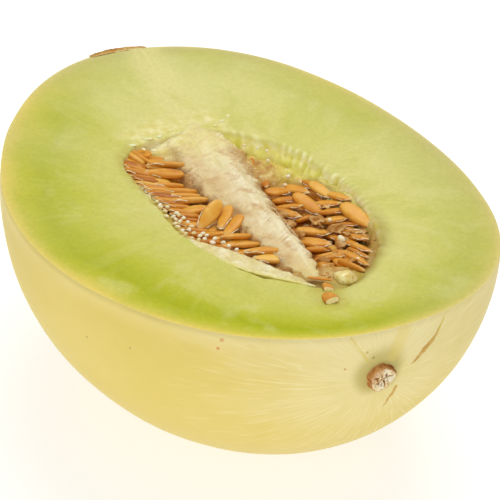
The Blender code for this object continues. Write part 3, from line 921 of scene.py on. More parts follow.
def lip_material():
    material, tree, place = new_material("grainy_inner_flesh", Subsurface_Weight=0.3,
                                         Subsurface_Scale=0.003, Specular_IOR_Level=0.25,
                                         Subsurface_Radius=(1.0, 0.8, 0.4))
    inner_side = attribute(tree, "inner_side")
    patches, grain = mottle(tree, place, 0.0045, 0.0012)
    runs = fibres(tree, moved(tree, place, turn=-28.0), 0.006, 0.001)
    cells = node(tree, "TexVoronoi", {"Vector": place, "Scale": 620.0}, feature="F1").outputs["Distance"]
    tint = ramp(tree, patches, (0.3, 216, 198, 118), (0.5, 233, 218, 156), (0.7, 245, 236, 194))
    tint = washed(tree, tint, (208, 186, 106), cells, 0.35, 0.75, 0.32)
    tint = washed(tree, tint, (240, 232, 196), runs, 0.55, 0.75, 0.5)
    tint = washed(tree, tint, (228, 217, 118), inner_side, 0.25, 0.0, 0.75)
    tint = washed(tree, tint, (200, 164, 104), inner_side, 0.85, 1.0, 0.6)
    wetness = spread_of(tree, grain, 0.4, 0.6, 0.25, 0.5, "LINEAR")
    height = maths(tree, "MULTIPLY_ADD", cells, -0.6, runs)
    return dressed(material, tint, height, 0.6, 0.0005, wetness)


finish_piece(lip, lip_material(), "pith")

# ---------------------------------------------------------------------------
# Pulp bed. Wet brown-gold jelly and torn strings that fill the bowl under the
# seeds: it shows between them, and lies bare in the far blossom quarter.
# ---------------------------------------------------------------------------
BED_SEGMENTS = 300
BED_RINGS = 110
BED_TOP = 0.85              # share of the rings, from the top, that makes its top
# Heights of its top: under the far seeds, under the near ones, at the tip, along the far
# wall, and where it meets the pith and the near blossom corner
FAR_TOP, NEAR_TOP, TIP_TOP, FILLET_TOP, HEM_TOP = -9.6, -6.0, -1.3, -2.6, -3.6
BARE_RISE = 6.1             # how much higher than under the far seeds it lies bare
NEAR_RISE = 2.0             # how much its near side rises towards the stem


def round_lump(name, segments, rings, x=0.0):
    """A ball: the piece, how far down from its top each vertex lies, and its way round."""
    piece = new_primitive(bpy.ops.mesh.primitive_uv_sphere_add, name, segments=segments,
                          ring_count=rings, radius=BALL * MM, location=at(x, 0.0))
    ball = (read_points(piece) - np.array([x, 0.0, 0.0])) / BALL
    share = np.arccos(np.clip(ball[:, 2], -1.0, 1.0)) / math.pi
    return piece, share, np.arctan2(ball[:, 1], ball[:, 0])


def towards(value, goal, share):
    return value + (goal - value) * share


bed, fall, angle = round_lump("pulp_bed", BED_SEGMENTS, BED_RINGS, BOWL_X)
over = np.clip(fall / BED_TOP, 0.0, 1.0)
under = np.clip((fall - BED_TOP) / (1.0 - BED_TOP), 0.0, 1.0)
out = over ** 0.8 * (1.0 - under)
reach = bowl_reach(angle) + 0.6
x = BOWL_X + np.cos(angle) * reach * out
y = np.sin(angle) * reach * out
far = smooth(-7.0, 1.0, y)
blossom_half = smooth(8.0, -3.0, x)
bare = far * blossom_half
bare_rise = BARE_RISE + 0.4 * smooth(0.40, 0.75, out) - 2.4 * smooth(0.76, 0.94, out)
far_top = FAR_TOP + bare_rise * blossom_half
near_top = NEAR_TOP + NEAR_RISE * smooth(8.0, 22.0, x)
near_wall = smooth(0.76, 0.93, out) * smooth(-20.0, -12.0, x)
near_top = towards(near_top, -2.0 + 0.9 * smooth(0.92, 0.99, out), near_wall)
surface = towards(near_top, far_top, far)
surface = towards(surface, HEM_TOP, smooth(-20.0, -27.0, x) * (1.0 - far))
hem = smooth(7.0, 3.0, y + 0.08 * (x - 20.0)) * smooth(4.0, 12.0, x) * far
surface = towards(surface, HEM_TOP, hem)
tip = smooth(46.0, 52.0, x) * smooth(16.0, 9.0, y)
surface = towards(surface, TIP_TOP - 0.13 * np.maximum(0.0, y), tip)
surface = towards(surface, -2.0, tip * smooth(0.93, 0.995, out))
narrow = smooth(6.0, 20.0, x)
fillet = smooth(0.72 + 0.09 * narrow, 0.92 + 0.04 * narrow, out)
fillet = fillet * smooth(-3.0, 6.0, x) * far * (1.0 - tip)
surface = towards(surface, FILLET_TOP, fillet)
surface = surface + (0.70 - 0.30 * tip) * lumps(x, y, 0.0 * x, 3.0, 43.0)
surface = surface + (0.45 - 0.20 * tip) * lumps(x, y, 0.0 * x, 1.4, 47.0)
floor_z = -(BOWL_DEPTH - 1.0) * np.sqrt(np.clip(1.0 - out ** 2, 0.0, 1.0)) - 1.0
z = np.where(under > 0.0, np.minimum(surface - 0.5, floor_z), surface)
write_points(bed, np.stack([x, y, z], 1))
point_values(bed, bare=bare, packed=np.maximum(hem, (1.0 - far) * smooth(6.0, 18.0, x)), tip=tip,
             fillet=np.maximum(fillet, 0.7 * near_wall * (1.0 - far)),
             tip_rim=tip * smooth(0.88, 0.98, out))


def bed_material():
    material, tree, place = new_material("wet_pulp", Subsurface_Weight=0.2, Subsurface_Scale=0.002,
                                         Specular_IOR_Level=0.25, Coat_Weight=0.06, Coat_Roughness=0.2,
                                         Subsurface_Radius=(1.0, 0.6, 0.25))
    centred = moved(tree, place)
    along, across, _ = parts(tree, centred)
    patches, grain = mottle(tree, centred, 0.0055, 0.0013)
    clouds, _ = mottle(tree, centred, 0.009, 0.002)
    torn = fibres(tree, moved(tree, place, turn=50.0), 0.008, 0.0009)
    # Under the seeds: dark amber jelly with pale torn strings.
    tint = ramp(tree, patches, (0.32, 166, 106, 38), (0.48, 194, 138, 64), (0.66, 220, 182, 116))
    tint = washed(tree, tint, (226, 200, 150), torn, 0.58, 0.75, 0.5)
    tint = mixed(tree, times(tree, attribute(tree, "packed"), 0.6), tint, (214, 158, 84))
    # The bare part: brown by the pith, yellow-green by the wall.
    drift = maths(tree, "MULTIPLY_ADD", clouds, 0.016, maths(tree, "SUBTRACT", across, 0.008))
    drift = maths(tree, "ADD", drift, spread_of(tree, along, -0.010, -0.024, 0.0, 0.009))
    drift = spread_of(tree, drift, 0.003, 0.021, 0.0, 1.0, "LINEAR")
    blots, specks = mottle(tree, centred, 0.0032, 0.0010)
    open_pulp = ramp(tree, drift, (0.0, 204, 166, 92), (0.16, 188, 140, 62), (0.36, 196, 154, 72),
                     (0.6, 210, 184, 82), (1.0, 216, 207, 100))
    open_pulp = washed(tree, open_pulp, (230, 210, 134), blots, 0.50, 0.66, 0.55)
    brown = times(tree, spread_of(tree, blots, 0.47, 0.36), spread_of(tree, drift, 0.8, 0.2))
    open_pulp = mixed(tree, times(tree, brown, 0.75), open_pulp, (168, 104, 44))
    # Painted highlight: pale wet glints in specks over the bare pulp.
    open_pulp = washed(tree, open_pulp, (246, 238, 196), specks, 0.61, 0.69, 0.45)
    tint = mixed(tree, attribute(tree, "bare"), tint, open_pulp)
    tip_pulp = ramp(tree, patches, (0.34, 176, 128, 52), (0.5, 196, 156, 78), (0.66, 214, 186, 112))
    tip_pulp = mixed(tree, attribute(tree, "tip_rim"), tip_pulp, (180, 160, 64))
    tint = mixed(tree, attribute(tree, "tip"), tint, tip_pulp)
    # Along the wall it thins to a clear film over the flesh.
    over_wall = ramp(tree, patches, (0.34, 186, 166, 66), (0.5, 206, 190, 96), (0.66, 224, 212, 140))
    over_wall = washed(tree, over_wall, (166, 126, 52), along, 0.024, 0.042, 0.85)
    tint = washed(tree, tint, over_wall, attribute(tree, "fillet"), 0.2, 0.8)
    wetness = spread_of(tree, grain, 0.4, 0.6, 0.32, 0.6, "LINEAR")
    height = maths(tree, "MULTIPLY_ADD", torn, 0.5, grain)
    return dressed(material, tint, height, 0.5, 0.0006, wetness)


finish_piece(bed, bed_material(), "pith")

# ---------------------------------------------------------------------------
# Seeds. Flat golden teardrops about 12 mm long, still wet, packed on edge against
# the pith with their points to the wall. Each half of the bowl has its own heap.
# ---------------------------------------------------------------------------
SEED_LENGTH, SEED_WIDTH, SEED_THICKNESS = 11.6, 5.2, 2.1
FILM_STEPS, FILM_THICKNESS = 15, 0.18


def seed_outline(along):
    """Half width of a seed, as a share of its most: narrow at the point, round at the end."""
    return along ** 0.72 * (1.0 - along) ** 0.5 / 0.497


def make_seed(name, segments, rings):
    """One seed about its own centre: X runs from the point to the round end."""
    seed = new_primitive(bpy.ops.mesh.primitive_uv_sphere_add, name, segments=segments,
                         ring_count=rings, radius=1.0, rotation=(0.0, math.pi / 2.0, 0.0))
    x, y, z = raw_points(seed).T
    along = 1.0 - np.arccos(np.clip(x, -1.0, 1.0)) / math.pi
    circle = np.maximum(1e-6, np.hypot(y, z))
    outline = seed_outline(along)
    body = outline * (SEED_WIDTH / 2.0)
    edge = np.abs(y) / circle
    y = y / circle * body
    swell = outline ** 0.8 * (SEED_THICKNESS / 2.0)
    z = z / circle * swell * (1.0 + 0.35 * edge ** 2)
    x = (along - 0.5) * SEED_LENGTH
    put_points(seed, np.stack([x, y, z], 1) * MM)
    point_values(seed, along=along, edge=edge ** 3)
    return seed


def make_film():
    """The pale lip of the torn sac round a seed's point, as a fine bead along its edge."""
    line = []
    for k in range(FILM_STEPS):
        turn = (k / (FILM_STEPS - 1) - 0.5) * 2.0
        along = 0.02 + 0.42 * abs(turn) ** 1.3
        width = seed_outline(along) * (SEED_WIDTH / 2.0) + 0.12
        x = (along - 0.5) * SEED_LENGTH
        y = math.copysign(width, turn) if k != FILM_STEPS // 2 else 0.0
        spot = Vector((x, y, 0.25 * math.sin(turn * 7.0))) * MM
        line.append((spot, 0.8 + 0.45 * math.sin(x * 3.0 + y)))
    return strung("film", [line], FILM_THICKNESS)


seed_model = make_seed("seed", 18, 14)
buried_model = make_seed("buried_seed", 12, 8)
film_model = make_film()


def copy_of(model, name, matrix, **values):
    """A copy of a model with its own mesh, put in place, holding one value for each name."""
    twin = model.copy()
    twin.data = model.data.copy()
    twin.name = name
    bpy.context.scene.collection.objects.link(twin)
    twin.data.transform(matrix)
    count = len(twin.data.vertices)
    point_values(twin, **{key: np.full(count, value) for key, value in values.items()})
    return twin


def joined(copies, name):
    bpy.ops.object.select_all(action="DESELECT")
    for twin in copies:
        twin.select_set(True)
    bpy.context.view_layer.objects.active = copies[0]
    bpy.ops.object.join()
    whole = bpy.context.object
    whole.name = name
    return whole


def seed_pose(x, y, z, heading, rise, roll, size=1.0, plump=1.0):
    """Where a seed lies: its middle, the way its round end points, and its lean."""
    turn = (Matrix.Rotation(math.radians(heading), 4, "Z") @ Matrix.Rotation(math.radians(-rise), 4, "Y")
            @ Matrix.Rotation(math.radians(roll), 4, "X"))
    return Matrix.Translation(at(x, y, z)) @ turn @ Matrix.Diagonal((size, size * plump, size * plump, 1.0))


# Seeds that lie open on top: X, Y, Z of the middle, heading, rise, roll, size
NEAR_TOP_SEEDS = (
    (-23.7, -20.7, -2.3, 19, 18, 12, 0.80), (-18.0, -18.4, -2.6, 43, 1, -6, 0.84),
    (-15.7, -15.8, -2.6, 62, 3, -32, 1.06), (-10.3, -19.3, -1.9, 61, 2, -4, 1.08),
    (-9.0, -22.5, -3.0, 42, 5, -16, 0.85), (-5.4, -21.0, -2.9, 70, -3, -30, 1.00),
    (-1.3, -19.2, -2.9, 62, 3, -28, 1.06), (1.7, -19.0, -2.8, 72, -3, -26, 1.00),
    (5.1, -18.6, -2.4, 74, 0, -28, 1.03), (10.2, -19.9, -2.6, 82, 3, -4, 0.88),
    (16.7, -17.6, -0.9, 118, 26, 38, 1.00), (17.8, -13.3, -1.8, 140, 12, -20, 0.92),
    (21.7, -12.6, -2.6, 124, 14, -8, 0.90), (22.1, -19.2, -3.8, 88, -6, -20, 0.85),
    (26.4, -14.1, -3.0, 80, -3, -26, 0.86), (31.2, -13.6, -3.0, 84, -5, -24, 0.85),
    (36.6, -10.2, -2.4, 74, 0, -20, 1.05), (40.5, -10.7, -2.6, 72, -3, -2, 0.86),
    (19.4, -18.8, -4.6, 96, -2, 8, 0.85), (24.2, -17.2, -4.3, 72, -2, -8, 0.85),
    (28.8, -14.9, -4.2, 90, -2, 10, 0.85), (33.9, -14.0, -4.0, 68, -2, -6, 0.85),
    (38.6, -12.8, -4.0, 84, -2, 10, 0.85))
FAR_TOP_SEEDS = (
    (5.9, 10.3, -4.6, -92, 6, -8, 0.78), (6.9, 16.0, -4.6, -150, -8, -8, 0.78),
    (11.6, 21.2, -3.0, -166, 4, -10, 0.84), (17.0, 24.2, -2.8, -152, -8, 6, 0.80),
    (10.0, 10.5, -5.2, -120, -14, 8, 0.74), (13.9, 10.0, -5.2, -122, -14, 16, 0.74),
    (15.6, 15.0, -4.4, -152, 14, -16, 0.98), (17.3, 7.2, -5.0, -140, -4, -2, 0.82),
    (17.4, 20.5, -4.2, -129, -14, 10, 0.80), (28.7, 23.6, -2.4, -164, 8, -14, 1.14),
    (19.8, 12.0, -6.2, -60, 14, 34, 0.80), (21.7, 20.1, -4.3, -121, -14, 14, 0.80),
    (25.7, 18.2, -4.5, -117, -16, 10, 0.80), (28.7, 9.7, -5.0, -108, 6, 8, 0.94),
    (31.8, 15.0, -6.3, -171, -20, 16, 0.80), (34.2, 7.1, -4.8, -130, -6, -4, 0.86),
    (36.8, 7.2, -5.6, -85, 14, 22, 0.84), (41.2, 8.7, -5.0, -78, 10, 32, 0.84),
    (43.8, 7.0, -4.2, -98, -2, 40, 0.88), (46.0, 11.0, -4.6, -67, 14, 34, 0.82),
    (45.6, 4.9, -5.0, -80, 16, 26, 0.84), (49.1, 6.3, -4.6, -82, 16, 20, 0.82),
    (36.6, 18.6, -4.0, -152, -14, 20, 0.84), (37.7, 15.7, -4.4, -166, -14, 14, 0.84),
    (42.4, 17.1, -3.8, -165, -12, 20, 0.84), (32.0, 19.4, -4.8, -150, -16, 10, 0.80),
    (22.9, 15.4, -6.2, -55, 20, 22, 0.80))
# Seeds sunk in the bare pulp, so that only a dark brown back shows
SUNK_SEEDS = (
    (-9.7, 8.9, -4.0, 150, 4, -30, 0.66), (-0.9, 9.3, -5.0, 164, -4, -24, 0.70),
    (-5.6, 9.2, -4.3, 158, 2, -20, 0.60))


# Painted shade in the heaps: a seed lying deeper is painted darker.
DEPTH_SHADE_PER_MM = 0.05       # how much paler a seed is for each millimetre it lies higher
TOP_TONE_SPREAD, UNDER_TONE_SPREAD = 0.12, 0.2


def heap(name, top_seeds, sunk_seeds, spots, film_share, seed_number, tone_and_light_level, rest_height):
    """A heap: the seeds placed one by one, then others laid around and under them."""
    pick = random.Random(seed_number)
    seeds, films = [], []
    for spot in top_seeds:
        pose = seed_pose(*spot)
        tone = pick.gauss(tone_and_light_level + 0.1, TOP_TONE_SPREAD) + DEPTH_SHADE_PER_MM * (spot[2] - rest_height)
        seeds.append(copy_of(seed_model, "seed_copy", pose, tone=min(1.0, max(0.0, tone))))
        if pick.random() < film_share:
            films.append(copy_of(film_model, "film_copy", pose, tone=tone))
    for spot in sunk_seeds:
        seeds.append(copy_of(seed_model, "seed_copy", seed_pose(*spot), tone=pick.uniform(0.2, 0.4)))
    for x, y, z, heading, rise, roll, filmed in spots(pick):
        pose = seed_pose(x, y, z, heading, rise, roll, pick.uniform(0.82, 1.0), pick.uniform(0.88, 1.08))
        # Seeds underneath are painted darker than those on top: painted shade.
        tone = pick.gauss(tone_and_light_level - 0.12, UNDER_TONE_SPREAD) + DEPTH_SHADE_PER_MM * (z - rest_height)
        tone = min(1.0, max(0.0, tone))
        seeds.append(copy_of(buried_model, "seed_copy", pose, tone=tone))
        if pick.random() < filmed:
            films.append(copy_of(film_model, "film_copy", pose, tone=tone))
    return joined(seeds, name), joined(films, name + "_films")


# Where the points of the seeds along the near wall lie: X, Y
NEAR_POINTS = ((-28.2, -23.4), (-26.8, -27.2), (-23.7, -28.9), (-19.2, -29.8), (-13.4, -30.0),
               (-8.0, -29.2), (-2.0, -28.4), (4.0, -27.6), (9.0, -26.6))
SHINGLED = 20               # seeds laid along them
ROWS_START = -22.0          # X of the first seed in each row under them
ROWS_TO_STEM = 46.0         # how far the rows follow the wall from the bowl's centre
# The rows: spacing along X, how many, shift, distance in from the wall, height and
# its spread, heading and its spread, span of rolls, share of the seeds that keep a film
NEAR_ROWS = (
    (3.0, 20, 1.0, 7.6, -4.0, (-0.4, 0.3), 58.0, (-12.0, 14.0), (-30.0, 0.0), 0.9),
    (3.3, 19, 0.0, 10.5, -5.0, (-0.6, 0.4), 66.0, (-14.0, 14.0), (-25.0, 10.0), 0.3),
    (4.5, 13, 1.5, 13.0, -5.8, (-0.4, 0.4), 70.0, (-20.0, 20.0), (-20.0, 20.0), 0.1))


def near_spots(pick):
    """On the near side: points to the wall, each seed shingled on the next, then those below."""
    walked = np.concatenate([[0.0], np.cumsum(np.hypot(*np.diff(np.array(NEAR_POINTS), axis=0).T))])
    for k in range(SHINGLED):
        along = walked[-1] * k / (SHINGLED - 1.0)
        x = float(np.interp(along, walked, np.array(NEAR_POINTS)[:, 0])) + pick.uniform(-0.3, 0.3)
        y = float(np.interp(along, walked, np.array(NEAR_POINTS)[:, 1])) + pick.uniform(-0.3, 0.3)
        heading = 20.0 + 27.0 * float(smooth(0.0, 5.0, k)) + 1.0 * k + pick.uniform(-8.0, 8.0)
        reach = 0.44 * SEED_LENGTH
        yield (x + reach * math.cos(math.radians(heading)), y + reach * math.sin(math.radians(heading)),
               -2.2 - 0.04 * k + pick.uniform(-0.3, 0.3), heading, -4.0, pick.uniform(-34.0, -6.0), 1.0)
    for step, count, shift, reach, z, z_jitter, heading, turned, roll, filmed in NEAR_ROWS:
        for k in range(count):
            x = ROWS_START + k * step + pick.uniform(-0.4, 0.4)
            u = min(0.98, abs(x - BOWL_X) / (ROWS_TO_STEM if x > BOWL_X else NEAR_TO_BLOSSOM))
            wall = -NEAR_WIDTH * math.sqrt(1.0 - u ** (2.0 if x > BOWL_X else BLUNTNESS))
            yield (x + shift, wall + reach, z + pick.uniform(*z_jitter),
                   heading + pick.uniform(*turned), 0.0, pick.uniform(*roll), filmed)


FAR_ROWS, FAR_ROW_SEEDS = 6, 16
FAR_STEP_X, FAR_STEP_Y = 3.2, 4.2
FAR_HALF_LENGTH, FAR_HALF_WIDTH = 41.0, 25.5        # of the oval they are kept in


def far_spots(pick):
    """Under layers on the far side, behind the pith: looser, with many points showing."""
    for row in range(FAR_ROWS):
        for k in range(FAR_ROW_SEEDS):
            x = 3.0 + k * FAR_STEP_X + pick.uniform(-1.2, 1.2)
            y = 4.0 + row * FAR_STEP_Y + pick.uniform(-1.4, 1.4)
            out = math.hypot((x - BOWL_X) / FAR_HALF_LENGTH, y / FAR_HALF_WIDTH)
            if out > 0.97:
                continue
            z = -9.0 + 0.045 * max(0.0, x - 18.0) + pick.uniform(-0.8, 0.8) + 0.03 * (24.0 - y)
            z = z + 3.4 * float(smooth(0.66, 0.96, out))
            yield (x, y, z, -110.0 - 2.6 * y + pick.uniform(-35.0, 35.0),
                   pick.uniform(-22.0, 10.0), pick.uniform(-30.0, 45.0), 0.75)


# The near heap is painted paler and the far heap darker: painted light and shade.
near_seeds, near_films = heap("seeds_near_heap", NEAR_TOP_SEEDS, (), near_spots, 0.8, 5, 0.60, -3.0)
far_seeds, far_films = heap("seeds_far_heap", FAR_TOP_SEEDS, SUNK_SEEDS, far_spots, 0.9, 9, 0.48, -5.5)


def seed_material():
    material, tree, place = new_material("golden_seed", Subsurface_Weight=0.12, Subsurface_Scale=0.0015,
                                         Coat_Weight=0.12, Coat_Roughness=0.2, Specular_IOR_Level=0.25,
                                         Subsurface_Radius=(1.0, 0.5, 0.2))
    tone = attribute(tree, "tone")
    along = attribute(tree, "along")
    edge = attribute(tree, "edge")
    patches, grain = mottle(tree, place, 0.0035, 0.0004)
    shade = stirred(tree, tone, patches, 0.35)
    tint = ramp(tree, shade, (0.05, 172, 94, 14), (0.35, 205, 129, 24), (0.65, 225, 156, 44),
                (1.0, 238, 187, 84))
    tint = washed(tree, tint, (240, 206, 140), along, 0.20, 0.03, 0.7)
    tint = washed(tree, tint, (190, 118, 34), edge, 0.4, 0.95, 0.45)
    tint = washed(tree, tint, (240, 202, 126), patches, 0.6, 0.72, 0.35)
    tint = mixed(tree, attribute(tree, "cut"), tint, (255, 236, 172))
    wetness = spread_of(tree, patches, 0.4, 0.6, 0.32, 0.5, "LINEAR")
    return dressed(material, tint, grain, 0.2, 0.0003, wetness)


def film_material():
    material, tree, place = new_material("torn_seed_sac", Subsurface_Weight=0.2, Subsurface_Scale=0.001,
                                         Specular_IOR_Level=0.3, Roughness=0.35)
    patches, _ = mottle(tree, place, 0.003, 0.001)
    tint = ramp(tree, patches, (0.35, 226, 184, 118), (0.46, 244, 222, 176), (0.60, 252, 242, 214))
    return dressed(material, tint)


seed_look = seed_material()
film_look = film_material()
finish_piece(near_seeds, seed_look, "seed", "seeds_near")
finish_piece(far_seeds, seed_look, "seed", "seeds_far")
finish_piece(near_films, film_look, "pith")
finish_piece(far_films, film_look, "pith")

# ---------------------------------------------------------------------------
# Torn sacs. Thin brownish skins that held the seeds, left as crumpled shreds
# between them behind the pith, against its far flank and round its tip.
# ---------------------------------------------------------------------------
# X, Y, Z of the middle, heading, rise, roll, length and width in millimetres
SHREDS = (
    (24.4, 13.3, -3.9, 60, 6, 16, 5.0, 2.6), (27.4, 11.6, -3.8, 20, 12, -20, 4.0, 2.4),
    (31.0, 15.8, -3.6, 70, 8, 30, 5.5, 2.6), (35.2, 16.4, -3.4, 40, -6, -24, 4.6, 2.6),
    (38.4, 13.6, -3.6, 80, 10, 24, 4.4, 2.8), (42.5, 15.0, -4.0, 50, 10, -16, 5.0, 2.6),
    (46.3, 13.0, -3.8, 100, -8, 22, 4.4, 3.0), (48.6, 9.9, -2.9, 60, 12, -22, 4.6, 2.8),
    (18.4, 18.6, -4.0, 30, 8, 20, 4.0, 2.2), (44.2, 8.6, -3.3, 30, 14, 18, 4.2, 2.6),
    (14.6, 21.4, -6.2, 70, -10, 20, 4.0, 3.0), (22.4, 19.0, -6.3, -30, 0, 24, 5.0, 3.0),
    (24.0, 15.6, -6.6, 30, 8, 10, 6.0, 3.0), (28.6, 14.6, -6.2, -20, 12, 30, 5.0, 3.5),
    (32.4, 18.6, -6.0, 10, 10, 10, 5.0, 2.5), (37.6, 14.2, -5.6, -40, 14, 20, 4.5, 3.0),
    (45.2, 15.4, -4.6, 60, 12, 20, 5.0, 3.0), (50.8, 9.6, -3.6, -10, 10, 10, 5.0, 3.0),
    (39.6, 22.2, -3.8, -20, 16, 0, 6.0, 3.5), (34.0, 23.6, -4.0, 0, 16, 10, 5.0, 3.0),
    (46.4, 2.4, -3.0, 70, 30, 40, 5.0, 3.0), (50.4, 1.0, -2.4, 60, 20, 30, 5.0, 3.0),
    (53.6, -1.6, -1.6, 30, 6, 14, 5.0, 2.6), (35.0, 20.6, -3.5, 60, 0, 10, 4.6, 2.6),
    (38.2, 20.0, -3.3, 30, 4, 14, 5.0, 2.8), (18.6, 4.0, -3.6, 60, 0, 20, 5.0, 2.6),
    (24.2, 3.4, -3.4, 50, 4, 24, 5.4, 2.6), (30.6, 3.0, -3.2, 70, 0, 20, 5.0, 2.6))
SHRED_THICKNESS = 0.10


def make_shred(number, length, width):
    """One crumpled shred about its own centre, ragged at its edges."""
    shred = new_primitive(bpy.ops.mesh.primitive_grid_add, "shred", x_subdivisions=12,
                          y_subdivisions=8, size=1.0)
    x, y, _ = raw_points(shred).T
    out = np.maximum(np.abs(x), np.abs(y)) * 2.0
    turn = np.arctan2(y, x)
    ragged = 1.0 + 0.22 * out * lumps(3.0 * np.cos(turn), 3.0 * np.sin(turn), 0.0 * x, 1.0, 5.0 * number)
    round_off = 1.0 / np.maximum(1.0, np.hypot(x, y) / np.maximum(1e-6, out) * 2.0)
    x, y = x * length * ragged * round_off, y * width * ragged * round_off
    z = 1.1 * lumps(x, y, 0.0 * x, 1.5, 3.0 * number) + 0.4 * lumps(x, y, 0.0 * x, 0.8, 7.0 * number)
    put_points(shred, np.stack([x, y, z], 1) * MM)
    thicken = shred.modifiers.new("thickness", "SOLIDIFY")
    thicken.thickness = SHRED_THICKNESS * MM
    bpy.ops.object.modifier_apply(modifier="thickness")
    return shred


shreds = []
for number, (*spot, length, width) in enumerate(SHREDS):
    shred = make_shred(number, length, width)
    shred.data.transform(seed_pose(*spot))
    shreds.append(shred)
torn_sacs = joined(shreds, "torn_sacs")


def shred_material():
    material, tree, place = new_material("brown_torn_sac", Specular_IOR_Level=0.2, Roughness=0.5)
    patches, grain = mottle(tree, place, 0.0028, 0.0007)
    tint = ramp(tree, patches, (0.34, 166, 106, 42), (0.5, 196, 142, 70), (0.66, 224, 186, 122))
    tint = washed(tree, tint, (238, 210, 154), grain, 0.60, 0.70, 0.45)
    return dressed(material, tint, grain, 0.5, 0.0004)


finish_piece(torn_sacs, shred_material(), "pith")

# ---------------------------------------------------------------------------
# Beads. White grains, the unripe seeds: rows of them between the ripe seeds and
# the lip, and a few loose in the pulp behind the pith, set where wet glints shine, so partly painted
# highlight.
# ---------------------------------------------------------------------------
BEAD_LENGTH, BEAD_WIDTH = 1.45, 1.0
# Rows as chains of X, Y
BEAD_ROWS = (((6.5, -26.8), (11.0, -26.0), (14.0, -24.8), (17.5, -24.8), (22.2, -23.9), (26.4, -22.0),
              (28.6, -20.3), (31.2, -18.9), (35.0, -17.6)),
             ((4.0, -28.6), (9.0, -28.3), (13.7, -27.3), (18.1, -26.4), (21.9, -26.1), (26.4, -24.2),
              (29.8, -22.2)),
             ((11.0, -29.4), (14.0, -29.0), (18.3, -28.5), (22.6, -27.8), (25.9, -26.8), (28.0, -25.4)))
BEAD_SPACING = 2.0
# Loose ones behind the pith, set where wet glints shine: X, Y, Z, size against the others
LOOSE_BEADS_AT_GLINTS = (
    (-17.6, 10.8, -1.7, 0.9), (-12.1, 15.6, -1.5, 0.7), (-7.8, 13.8, -2.2, 0.8), (0.9, 16.2, -3.4, 1.1),
    (-19.4, 7.0, -1.9, 0.7), (-14.7, 13.7, -1.6, 0.7), (4.1, 13.5, -4.0, 0.8), (4.3, 18.6, -3.8, 0.8),
    (26.6, 16.0, -3.6, 1.1), (37.4, 13.7, -3.0, 1.5), (48.5, 12.8, -2.8, 0.8))

bead_model = new_primitive(bpy.ops.mesh.primitive_ico_sphere_add, "bead", subdivisions=2, radius=0.5 * MM)
beads = []
pick = random.Random(21)


def lay_bead(x, y, z, size):
    turn = (Matrix.Rotation(math.radians(pick.uniform(20.0, 110.0)), 4, "Z")
            @ Matrix.Rotation(math.radians(pick.uniform(-30.0, 30.0)), 4, "Y"))
    length = BEAD_LENGTH * pick.uniform(0.85, 1.25) * size
    width = BEAD_WIDTH * pick.uniform(0.85, 1.15) * size
    pose = Matrix.Translation(at(x, y, z)) @ turn @ Matrix.Diagonal((length, width, width, 1.0))
    beads.append(copy_of(bead_model, "bead_copy", pose, tone=pick.random()))


for row in BEAD_ROWS:
    for (x0, y0), (x1, y1) in zip(row, row[1:]):
        count = max(1, round(math.hypot(x1 - x0, y1 - y0) / BEAD_SPACING))
        for k in range(count):
            if pick.random() < 0.15:
                continue
            share = (k + pick.uniform(0.2, 0.8)) / count
            x = x0 + (x1 - x0) * share + pick.uniform(-0.25, 0.25)
            y = y0 + (y1 - y0) * share + pick.uniform(-0.3, 0.3)
            lay_bead(x, y, -1.1 - 0.09 * (y + 29.0) + pick.uniform(-0.3, 0.2), 1.0)
for x, y, z, size in LOOSE_BEADS_AT_GLINTS:
    lay_bead(x, y, z, size)
unripe = joined(beads, "unripe_seeds")


def bead_material():
    material, tree, _ = new_material("unripe_seed_white", Subsurface_Weight=0.2, Subsurface_Scale=0.001,
                                     Specular_IOR_Level=0.25, Roughness=0.45)
    tone = attribute(tree, "tone")
    tint = ramp(tree, tone, (0.0, 236, 220, 166), (0.5, 244, 234, 194), (1.0, 251, 246, 222))
    return dressed(material, tint)


finish_piece(unripe, bead_material(), "seed")

# ---------------------------------------------------------------------------
# Flecks. Wet crumbs of pale flesh torn up round the root of the pith, pressed
# into the cut face beside it, set where wet highlights shine: partly painted highlight.
# ---------------------------------------------------------------------------
# X, Y, Z, the way it lies, length and width in millimetres
GLINT_FLECKS = (
    (-25.7, -22.5, 0.0, 70, 2.4, 1.5), (-27.7, -16.6, 0.1, 80, 3.4, 1.7), (-28.0, -12.6, 0.1, 100, 2.2, 1.5),
    (-21.0, -17.7, -0.1, 50, 2.2, 1.1), (-22.6, -20.2, -0.1, 20, 1.6, 1.0), (-28.8, 6.4, 0.1, 120, 2.6, 1.3),
    (-33.4, 13.0, 0.0, 150, 2.4, 1.5), (-27.8, 13.0, -0.6, 20, 1.8, 1.2), (-30.8, 9.6, 0.1, 110, 2.8, 1.2),
    (-29.0, 14.8, -0.2, 60, 1.5, 1.0), (-25.8, 17.0, -0.6, 100, 1.6, 1.0))
FLECK_THICKNESS = 0.5

crumbs = []
for x, y, z, way, length, width in GLINT_FLECKS:
    pose = (Matrix.Translation(at(x, y, z - 0.1)) @ Matrix.Rotation(math.radians(way), 4, "Z")
            @ Matrix.Diagonal((length, width, FLECK_THICKNESS, 1.0)))
    crumbs.append(copy_of(bead_model, "fleck_copy", pose, tone=pick.random()))
flecks = joined(crumbs, "flesh_flecks_and_glints")
points = read_points(flecks)
points = points + 0.16 * np.stack([lumps(*points.T, 0.9, 81.0), lumps(*points.T, 0.9, 83.0),
                                   0.6 * lumps(*points.T, 0.9, 85.0)], 1)
write_points(flecks, points)


def fleck_material():
    material, tree, _ = new_material("torn_flesh_fleck_glint", Subsurface_Weight=0.3, Subsurface_Scale=0.002,
                                     Specular_IOR_Level=0.3, Roughness=0.35)
    tint = ramp(tree, attribute(tree, "tone"), (0.0, 230, 220, 144), (1.0, 242, 235, 182))
    return dressed(material, tint)


finish_piece(flecks, fleck_material(), "flesh")
for model in (seed_model, buried_model, film_model, bead_model):
    bpy.data.objects.remove(model)

